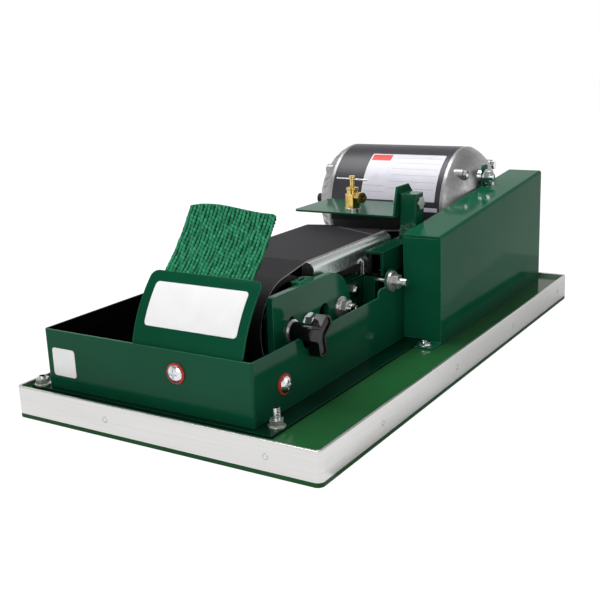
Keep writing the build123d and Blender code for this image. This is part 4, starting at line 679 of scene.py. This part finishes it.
columns = cords * points_per_cord
rows = loops * points_per_loop
vertices, heights = [], []
for row in range(rows + 1):
    share = row / rows
    for column in range(columns + 1):
        side = column / columns
        place, out = flap_point(share * (flap_length + share * top_edge(side)))
        height = weave_height(column / points_per_cord, row / points_per_loop)
        on_edge = column in (0, columns) or row == rows
        place = place + rib_height * (height - 1) * out
        place.x = flap_left + side * flap_width + (weaver.uniform(-frayed, frayed) if on_edge else 0)
        vertices.append(place)
        heights.append(height)
faces = []
for row in range(rows):
    for column in range(columns):
        corner = row * (columns + 1) + column
        faces.append((corner, corner + 1, corner + columns + 2, corner + columns + 1))
flap_mesh = bpy.data.meshes.new("woven_flap")
flap_mesh.from_pydata(vertices, [], faces)
weave = flap_mesh.attributes.new("weave", "FLOAT", "POINT")
weave.data.foreach_set("value", heights)
flap = bpy.data.objects.new("woven_flap", flap_mesh)
studio.collection.objects.link(flap)
print(len(vertices), "points in the weave")

# %% Thickness and finish of the flap


def make_active(piece):
    """Selects one piece alone."""
    bpy.ops.object.select_all(action="DESELECT")
    piece.select_set(True)
    bpy.context.view_layer.objects.active = piece


def apply_modifier(piece, kind, **settings):
    """Adds a modifier with these settings to the active piece, and applies it."""
    bpy.ops.object.modifier_add(type=kind)
    modifier = piece.modifiers[-1]
    for name, value in settings.items():
        setattr(modifier, name, value)
    bpy.ops.object.modifier_apply(modifier=modifier.name)


flap_thickness = 1.2 * MM
make_active(flap)
apply_modifier(flap, "SOLIDIFY", thickness=flap_thickness, offset=-1)
bpy.ops.object.shade_smooth()

woven_green = new_finish("woven_green", roughness=0.9, refraction=1.15)
weave_height_node = woven_green.node_tree.nodes.new("ShaderNodeAttribute")
weave_height_node.attribute_name = "weave"
# Painted shade in the gaps between the cords, and a painted highlight on the tops of the loops.
gap_shade_green, loop_highlight_green = (0.002, 0.030, 0.014), (0.045, 0.35, 0.172)
cloth_colour = two_tones(woven_green, weave_height_node.outputs["Fac"], gap_shade_green, loop_highlight_green, 0.15, 0.95)
wire(woven_green, cloth_colour, "Base Color")
relief(woven_green, clouds(woven_green, 1200), 0.1 * MM, 0.2 * MM)
flap.data.materials.append(woven_green)
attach(flap, "frame")
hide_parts("splash_cloth")
print("flap finished")

# %% [markdown]
# ## Blank labels
# A white label on the splash guard, a small one on the tank and the motor's plate are plain stickers
# here. A sticker on a curved sheet could be bent with a modifier. Spinning one edge round the sheet's own
# axis is exact and leaves clean quads, whose corners are then rounded with a vertex bevel.

# %% Helpers for stickers


def deselect_mesh(piece, mode):
    """Makes a piece active, with this way of selecting and nothing selected in its mesh."""
    make_active(piece)
    bpy.ops.object.mode_set(mode="EDIT")
    bpy.ops.mesh.select_mode(type=mode)
    bpy.ops.mesh.select_all(action="DESELECT")
    bpy.ops.object.mode_set(mode="OBJECT")


def round_corners(piece, radius):
    """Rounds the four outer corners of an open strip: the points that belong to one face only."""
    deselect_mesh(piece, "VERT")
    uses = [0] * len(piece.data.vertices)
    for polygon in piece.data.polygons:
        for index in polygon.vertices:
            uses[index] += 1
    for vertex in piece.data.vertices:
        vertex.select = uses[vertex.index] == 1
    bpy.ops.object.mode_set(mode="EDIT")
    bpy.ops.mesh.bevel(affect="VERTICES", offset=radius, segments=4)
    bpy.ops.object.mode_set(mode="OBJECT")


def thicken(piece, thickness):
    """Gives an open strip a thickness, outwards."""
    deselect_mesh(piece, "FACE")
    apply_modifier(piece, "SOLIDIFY", thickness=thickness, offset=1)
    bpy.ops.object.shade_smooth_by_angle(angle=math.radians(40))


def wrapped_label(name, left, right, middle, radius, start, end, thickness, corner=0.0, steps=10):
    """A sticker round an X axis through middle. Angles go up from the front, in degrees."""
    bpy.ops.object.select_all(action="DESELECT")
    turn = math.radians(start)
    edge = middle + radius * Vector((0, -math.cos(turn), math.sin(turn)))
    bpy.ops.mesh.primitive_plane_add(size=right - left, location=((left + right) / 2, edge.y, edge.z))
    piece = bpy.context.object
    piece.name = name
    bpy.ops.object.transform_apply()
    deselect_mesh(piece, "VERT")
    for vertex in piece.data.vertices:
        vertex.select = vertex.co.y > edge.y
    bpy.ops.object.mode_set(mode="EDIT")
    bpy.ops.mesh.delete(type="VERT")
    bpy.ops.mesh.select_all(action="SELECT")
    bpy.ops.object.mode_set(mode="OBJECT")
    for vertex in piece.data.vertices:
        vertex.co.y = edge.y
    bpy.ops.object.mode_set(mode="EDIT")
    bpy.ops.mesh.spin(steps=steps, angle=math.radians(end - start), center=middle, axis=(1, 0, 0))
    bpy.ops.object.mode_set(mode="OBJECT")
    face_outwards(piece, middle)
    if corner:
        round_corners(piece, corner)
    thicken(piece, thickness)
    return piece


def face_outwards(piece, middle):
    """Turns a strip's faces away from the axis it is wrapped round."""
    first = piece.data.polygons[0]
    out = first.center - middle
    out.x = 0
    if first.normal.dot(out) < 0:
        deselect_mesh(piece, "FACE")
        bpy.ops.object.mode_set(mode="EDIT")
        bpy.ops.mesh.select_all(action="SELECT")
        bpy.ops.mesh.flip_normals()
        bpy.ops.object.mode_set(mode="OBJECT")


def on_machine(piece, finish, body="frame"):
    """Gives a piece its finish, and lets it move with the body that carries it."""
    piece.data.materials.clear()
    piece.data.materials.append(finish)
    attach(piece, body)


print("sticker helpers ready")

# %% Label on the splash guard
white_label = moulded("white_label", (0.90, 0.90, 0.90), (0.94, 0.94, 0.94), 0.35, 60, 0.01 * MM)
sheet_radius = 124.0 * MM
label_lift = 0.05 * MM
label_thickness = 0.2 * MM
label_left, label_right = -24.2 * MM, 73.4 * MM
label_start, label_end = 23.7, 42.5
label_corner = 3.5 * MM
splash_label = wrapped_label("splash_label", label_left, label_right, bend_middle, sheet_radius + label_lift,
                             label_start, label_end, label_thickness, corner=label_corner)
on_machine(splash_label, white_label)
print("splash label", [round(value / MM) for value in splash_label.dimensions], "mm")

# %% Small label on the tank
tank_label_width = 27.9 * MM
tank_label_height = 26.7 * MM
tank_label_corner = 3.0 * MM
tank_label_middle = Vector((-117.7 * MM, tank_low.y - label_lift, 53.9 * MM))
bpy.ops.object.select_all(action="DESELECT")
bpy.ops.mesh.primitive_plane_add(size=1, location=tank_label_middle, rotation=(math.radians(90), 0, 0))
tank_label = bpy.context.object
tank_label.name = "tank_label"
tank_label.scale = (tank_label_width, tank_label_height, 1)
bpy.ops.object.transform_apply()
round_corners(tank_label, tank_label_corner)
thicken(tank_label, label_thickness)
on_machine(tank_label, white_label)
print("tank label", [round(value / MM, 1) for value in tank_label.dimensions], "mm")

# %% Motor plate with ruled lines and a red band
plate_white = moulded("plate_white", (0.70, 0.69, 0.77), (0.77, 0.76, 0.84), 0.3, 40, 0.01 * MM)
plate_red = moulded("plate_red", (0.75, 0.02, 0.012), (0.85, 0.03, 0.02), 0.35, 60, 0.01 * MM)
plate_grey = moulded("plate_grey", (0.45, 0.45, 0.47), (0.52, 0.52, 0.54), 0.4, 60, 0.01 * MM)
shell_low, shell_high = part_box("motor_shell")
shell_middle = (shell_low + shell_high) / 2
shell_middle.x = 0
shell_radius = (shell_high.z - shell_low.z) / 2
plate_left, plate_right = -46 * MM, 52 * MM
plate_start, plate_end = 10.5, 63.0
plate_corner = 1.5 * MM
band_left, band_right = -44 * MM, -18 * MM
band_start, band_end = 53, 61.5
strip_left, strip_right = 39 * MM, 56 * MM
strip_start, strip_end = 1, 5
motor_plate = wrapped_label("motor_plate", plate_left, plate_right, shell_middle, shell_radius + label_lift,
                            plate_start, plate_end, label_thickness, corner=plate_corner, steps=18)
on_machine(motor_plate, plate_white)
print_radius = shell_radius + label_lift + label_thickness
print_thickness = 0.03 * MM
red_band = wrapped_label("motor_plate_band", band_left, band_right, shell_middle, print_radius,
                         band_start, band_end, print_thickness, steps=4)
on_machine(red_band, plate_red)
rule_height = 0.45
rules = [(-44, -16, 18), (-44, -16, 24), (-12, 49, 22), (-12, 49, 29), (-12, 49, 36), (-12, 49, 43),
         (-12, 49, 50), (-12, 49, 57)]
for number, (left, right, angle) in enumerate(rules):
    rule = wrapped_label(f"motor_plate_rule_{number + 1}", left * MM, right * MM, shell_middle, print_radius,
                         angle, angle + rule_height, print_thickness, steps=1)
    on_machine(rule, plate_grey)
strip_label = wrapped_label("motor_strip_label", strip_left, strip_right, shell_middle,
                            shell_radius + label_lift, strip_start, strip_end, label_thickness, steps=2)
on_machine(strip_label, plate_white)
print("motor plate with", len(rules), "rules")

# %% [markdown]
# ## Trim screws
# Small countersunk screws hold the aluminium trim to the board. One is modelled from a cylinder: its
# front face is inset and pushed in for the driver, and its rim is bevelled. The others are copies, each
# with its own mesh, turned to face out of their side of the trim.

# %% Model one screw head and copy it round the trim
trim_low, trim_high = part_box("edge_trim")
screw_radius = 3.1 * MM
screw_depth = 2.4 * MM
screw_proud = 0.15 * MM
screw_height = 16.5 * MM
screw_rim = 0.25 * MM
recess_margin = 1.0 * MM
recess_depth = 1.6 * MM


def push(by):
    """Extrudes what is selected and moves it."""
    bpy.ops.mesh.extrude_region_move(TRANSFORM_OT_translate={"value": by})


def screw_head():
    """A screw head that faces -Y, with its face's middle at the origin."""
    bpy.ops.object.select_all(action="DESELECT")
    bpy.ops.mesh.primitive_cylinder_add(vertices=20, radius=screw_radius, depth=screw_depth,
                                        location=(0, screw_depth / 2, 0), rotation=(math.radians(90), 0, 0))
    head = bpy.context.object
    bpy.ops.object.transform_apply()
    deselect_mesh(head, "FACE")
    for polygon in head.data.polygons:
        polygon.select = polygon.normal.y < -0.9
    bpy.ops.object.mode_set(mode="EDIT")
    bpy.ops.mesh.bevel(offset=screw_rim, segments=2)
    bpy.ops.object.mode_set(mode="OBJECT")
    for polygon in head.data.polygons:
        polygon.select = polygon.normal.y < -0.99
    bpy.ops.object.mode_set(mode="EDIT")
    bpy.ops.mesh.inset(thickness=recess_margin)
    push((0, recess_depth, 0))
    bpy.ops.object.mode_set(mode="OBJECT")
    return head


front_screws = [-54.7, 114.5]
side_screws = [-201.8, -44.9, 112.0, 269.0]
screw_places = []
for x in front_screws:
    screw_places.append((x * MM, trim_low.y - screw_proud, 0))
    screw_places.append((-x * MM, trim_high.y + screw_proud, 180))
for y in side_screws:
    screw_places.append((trim_high.x + screw_proud, y * MM, 90))
    screw_places.append((trim_low.x - screw_proud, y * MM, -90))
pattern_head = screw_head()
for number, (x, y, turn) in enumerate(screw_places):
    head = pattern_head.copy()
    head.data = pattern_head.data.copy()
    head.name = f"trim_screw_{number + 1}"
    studio.collection.objects.link(head)
    make_active(head)
    head.rotation_euler.z = math.radians(turn)
    head.location = (x, y, screw_height)
    bpy.ops.object.transform_apply()
    bpy.ops.object.shade_smooth_by_angle(angle=math.radians(35))
    on_machine(head, ground_steel)
bpy.data.objects.remove(pattern_head)
print(len(screw_places), "trim screws")

# %% [markdown]
# ## Clamping knob
# A knob with three lobes clamps the tension arm. Moulded plastic has rounded edges everywhere, and CAD
# drew only its plain form. The lobes could be three boxes joined to a hub. Pushing them out of the side of
# one cylinder keeps a single skin, so that one bevel rounds every edge, the inner corners too.

# %% Push three lobes out of a cylinder
knob_low, knob_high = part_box("clamp_knob")
stud_low, stud_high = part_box("clamp_stud")
knob_middle = (stud_low + stud_high) / 2
knob_sides = 36
knob_core = 8.5 * MM
lobe_left = 93.5 * MM
lobe_right = knob_high.x
lobe_reach = 20.5 * MM
lobe_turn = math.radians(-81)
lobe_spread = math.radians(50.5)
hub_end = 9.2 * MM
stud_bore = 4.9 * MM
bore_past_stud = 0.5 * MM
knob_edge = 2.2 * MM
knob_recess = 1.5 * MM
knob_rounding = 1.0 * MM
bpy.ops.object.select_all(action="DESELECT")
bpy.ops.mesh.primitive_cylinder_add(vertices=knob_sides, radius=knob_core, depth=lobe_right - lobe_left,
                                    rotation=(0, math.radians(90), 0))
knob = bpy.context.object
knob.name = "moulded_knob"
bpy.ops.object.transform_apply()
for lobe in range(3):
    turn = 2 * math.pi * lobe / 3
    out = Vector((0, math.cos(turn), math.sin(turn)))
    deselect_mesh(knob, "FACE")
    for polygon in knob.data.polygons:
        from_axis = Vector((0, polygon.center.y, polygon.center.z))
        on_core = abs(polygon.normal.x) < 0.5 and 0.9 * knob_core < from_axis.length < 1.01 * knob_core
        polygon.select = on_core and from_axis.angle(out) < lobe_spread
    bpy.ops.object.mode_set(mode="EDIT")
    push(out * (lobe_reach - knob_core))
    bpy.ops.object.mode_set(mode="OBJECT")
print("knob with", len(knob.data.polygons), "faces")

# %% Hub, bore and recess of the knob


def select_caps(piece, side, reach):
    """Opens a piece in edit mode with its left (-1) or right (1) end selected, out to a reach."""
    deselect_mesh(piece, "FACE")
    for polygon in piece.data.polygons:
        near_axis = math.hypot(polygon.center.y, polygon.center.z) < reach
        polygon.select = near_axis and polygon.normal.x * side > 0.9
    bpy.ops.object.mode_set(mode="EDIT")


half_lobe = (lobe_right - lobe_left) / 2
hub_length = lobe_left - knob_low.x
bore_depth = stud_high.x - knob_low.x + bore_past_stud
select_caps(knob, -1, knob_core / 2)
push((-hub_length, 0, 0))
bpy.ops.transform.resize(value=(1, hub_end / knob_core, hub_end / knob_core),
                         center_override=(-half_lobe - hub_length, 0, 0))
bpy.ops.mesh.inset(thickness=hub_end - stud_bore)
push((bore_depth, 0, 0))
bpy.ops.object.mode_set(mode="OBJECT")
select_caps(knob, 1, lobe_reach)
bpy.ops.mesh.inset(thickness=knob_edge)
push((-knob_recess, 0, 0))
bpy.ops.mesh.select_all(action="SELECT")
bpy.ops.mesh.normals_make_consistent(inside=False)
bpy.ops.object.mode_set(mode="OBJECT")
apply_modifier(knob, "BEVEL", width=knob_rounding, segments=3, angle_limit=math.radians(35))
knob.rotation_euler.x = lobe_turn
knob.location = ((lobe_left + lobe_right) / 2, knob_middle.y, knob_middle.z)
bpy.ops.object.transform_apply()
bpy.ops.object.shade_smooth_by_angle(angle=math.radians(40))
on_machine(knob, black_plastic, body="knob")
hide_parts("clamp_knob")
print("knob", [round(value / MM, 1) for value in knob.dimensions], "mm")

# %% [markdown]
# ## Threads
# The ends of studs and bolts show their threads. The screw operator could draw a true helix. At this size
# rings look the same and close cleanly, so a disc is extruded by half a pitch again and again, and made
# wider or narrower each time.

# %% Threads on studs and bolts
thread_pitch = 1.3 * MM
thread_proud = 0.25 * MM
thread_deep = 0.3 * MM
stud_radius = 3.2 * MM
tie_radius = 4.0 * MM
pivot_radius = 4.76 * MM
tank_nut_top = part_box("tank_nuts")[1].z


def thread(name, foot, end, radius):
    """Rings of thread round the end of a rod."""
    along = (end - foot).normalized()
    turns = max(1, round((end - foot).length / thread_pitch))
    step = (end - foot) / (2 * turns)
    root, crest = radius - thread_deep, radius + thread_proud
    bpy.ops.object.select_all(action="DESELECT")
    bpy.ops.mesh.primitive_circle_add(vertices=24, radius=root, fill_type="NGON", location=foot,
                                      rotation=along.to_track_quat("Z", "Y").to_euler())
    rod = bpy.context.object
    rod.name = name
    bpy.ops.object.transform_apply()
    deselect_mesh(rod, "FACE")
    bpy.ops.object.mode_set(mode="EDIT")
    bpy.ops.mesh.select_all(action="SELECT")
    for ring in range(2 * turns):
        growth = root / crest if ring % 2 else crest / root
        push(step)
        bpy.ops.transform.resize(value=(growth, growth, growth), center_override=foot + step * (ring + 1))
    bpy.ops.mesh.select_all(action="SELECT")
    bpy.ops.mesh.normals_make_consistent(inside=False)
    bpy.ops.object.mode_set(mode="OBJECT")
    bpy.ops.object.shade_smooth_by_angle(angle=math.radians(30))
    on_machine(rod, bright_zinc)


def bolt_end(bolt, nut):
    """Where a sideways bolt comes out of its nut, and where it ends."""
    low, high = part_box(bolt)
    middle = (low + high) / 2
    return Vector((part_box(nut)[1].x, middle.y, middle.z)), Vector((high.x, middle.y, middle.z))


stud_tops = [(106.1, -273.8, 45.5), (106.1, 101.0, 45.5), (-147.4, -287.3, 37.5), (-147.4, 101.0, 37.5)]
for number, place in enumerate(stud_tops):
    top = Vector(place) * MM
    foot = Vector((top.x, top.y, tank_nut_top))
    thread(f"stud_thread_{number + 1}", foot, top, stud_radius)
thread("tie_thread", *bolt_end("tie_bolt", "tie_nut"), tie_radius)
thread("pivot_thread", *bolt_end("pivot_bolt", "pivot_nut"), pivot_radius)
print(len(stud_tops) + 2, "threaded ends")

# %% [markdown]
# ## Low nuts and bolt heads
# The hood's bolt has a low head, and the nuts on the guard's feet are thin. New ones could be modelled from
# cylinders. Pressing a merged copy of the CAD piece flat keeps its place, its flats and its bore.

# %% Press copies of two CAD pieces flat
post_low, post_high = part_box("hood_post")
guard_washer_top = 29.2 * MM
ear_height = 100.0 * MM
thin_share = 0.4
post_margin = 0.1 * MM
merge_distance = 0.001 * MM


def merged_copy(name, node):
    """A new piece with a node's shape, its doubled points merged, and nothing selected."""
    piece = bpy.data.objects.new(name, nodes[node].data.copy())
    studio.collection.objects.link(piece)
    deselect_mesh(piece, "VERT")
    bpy.ops.object.mode_set(mode="EDIT")
    bpy.ops.mesh.select_all(action="SELECT")
    bpy.ops.mesh.remove_doubles(threshold=merge_distance)
    bpy.ops.mesh.normals_make_consistent(inside=False)
    bpy.ops.mesh.select_all(action="DESELECT")
    bpy.ops.object.mode_set(mode="OBJECT")
    return piece


def pressed_copy(name, node, middle, scale, chosen, finish):
    """A copy of a node whose chosen points are drawn towards the middle. It takes the node's place."""
    piece = merged_copy(name, node)
    for vertex in piece.data.vertices:
        vertex.select = chosen(vertex.co)
    bpy.ops.object.mode_set(mode="EDIT")
    bpy.ops.transform.resize(value=scale, center_override=middle)
    bpy.ops.object.mode_set(mode="OBJECT")
    bpy.ops.object.shade_smooth_by_angle(angle=math.radians(30))
    on_machine(piece, finish)
    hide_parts(node)
    print(name, [round(value / MM, 1) for value in piece.dimensions], "mm")


pressed_copy("low_hood_bolt", "hood_bolt", (post_high.x, 0, 0), (thin_share, 1, 1),
             lambda place: place.x > post_high.x + post_margin, dull_zinc)
pressed_copy("thin_guard_nuts", "guard_fasteners", (0, 0, guard_washer_top), (1, 1, thin_share),
             lambda place: guard_washer_top < place.z < ear_height, bright_zinc)

# %% [markdown]
# ## Belt divided across near the front drum
# When the arm swings, the front drum moves and pulls the abrasive belt with it. A belt that stays still
# would be cut by the drum. A copy of the belt is divided across between the platen and the front drum.

# %% Divide the belt
belt_divisions = 10
belt_crease = math.radians(7)
platen_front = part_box("platen")[0].y
drum_low, drum_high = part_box("idler_drum")
drum_middle = (drum_low + drum_high) / 2
belt_start = Vector((drum_middle.x, platen_front, drum_middle.z))
belt = merged_copy("blended_belt", "abrasive_belt")
bpy.ops.object.mode_set(mode="EDIT")
for division in range(1, belt_divisions + 1):
    bpy.ops.mesh.select_all(action="SELECT")
    bpy.ops.mesh.bisect(plane_co=belt_start.lerp(drum_middle, division / belt_divisions), plane_no=(0, 1, 0))
bpy.ops.object.mode_set(mode="OBJECT")
bpy.ops.object.shade_smooth_by_angle(angle=belt_crease)
belt.data.materials.clear()
belt.data.materials.append(abrasive)
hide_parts("abrasive_belt")
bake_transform(belt)
print("belt bends over", round((belt_start - drum_middle).length / MM), "mm")

# %% [markdown]
# ## Weld bead
# The hood's post stands on a thick bead of weld. It could be sculpted. A heap of balls of uneven size,
# remeshed into one skin and smoothed, has the same lumps.

# %% Weld bead in front of the post
bead_front = 33.4 * MM
bead_height = 13.0 * MM
lump_radius = 3.4 * MM
lump_spread = (0.8, 1.1)
lump_taper = 0.6
heap_slope = 1.5
lumps = 60
bead_skin = 0.5 * MM
welder = random.Random(3)
balls = []
for lump in range(lumps):
    rise = welder.random() ** heap_slope
    radius = lump_radius * (1 - lump_taper * rise) * welder.uniform(*lump_spread)
    x = welder.uniform(post_low.x + radius / 2, post_high.x - radius / 2)
    place = (x, bead_front, post_low.z + radius / 2 + rise * bead_height)
    bpy.ops.mesh.primitive_ico_sphere_add(subdivisions=3, radius=radius, location=place)
    balls.append(bpy.context.object)
bpy.ops.object.select_all(action="DESELECT")
for ball in balls:
    ball.select_set(True)
bpy.context.view_layer.objects.active = balls[0]
bpy.ops.object.join()
bead = bpy.context.object
bead.name = "post_weld_bead"
bpy.ops.object.transform_apply()
apply_modifier(bead, "REMESH", mode="VOXEL", voxel_size=bead_skin)
apply_modifier(bead, "SMOOTH", iterations=3)
bpy.ops.object.shade_smooth()
on_machine(bead, weld_enamel)
print("weld bead of", len(balls), "lumps")
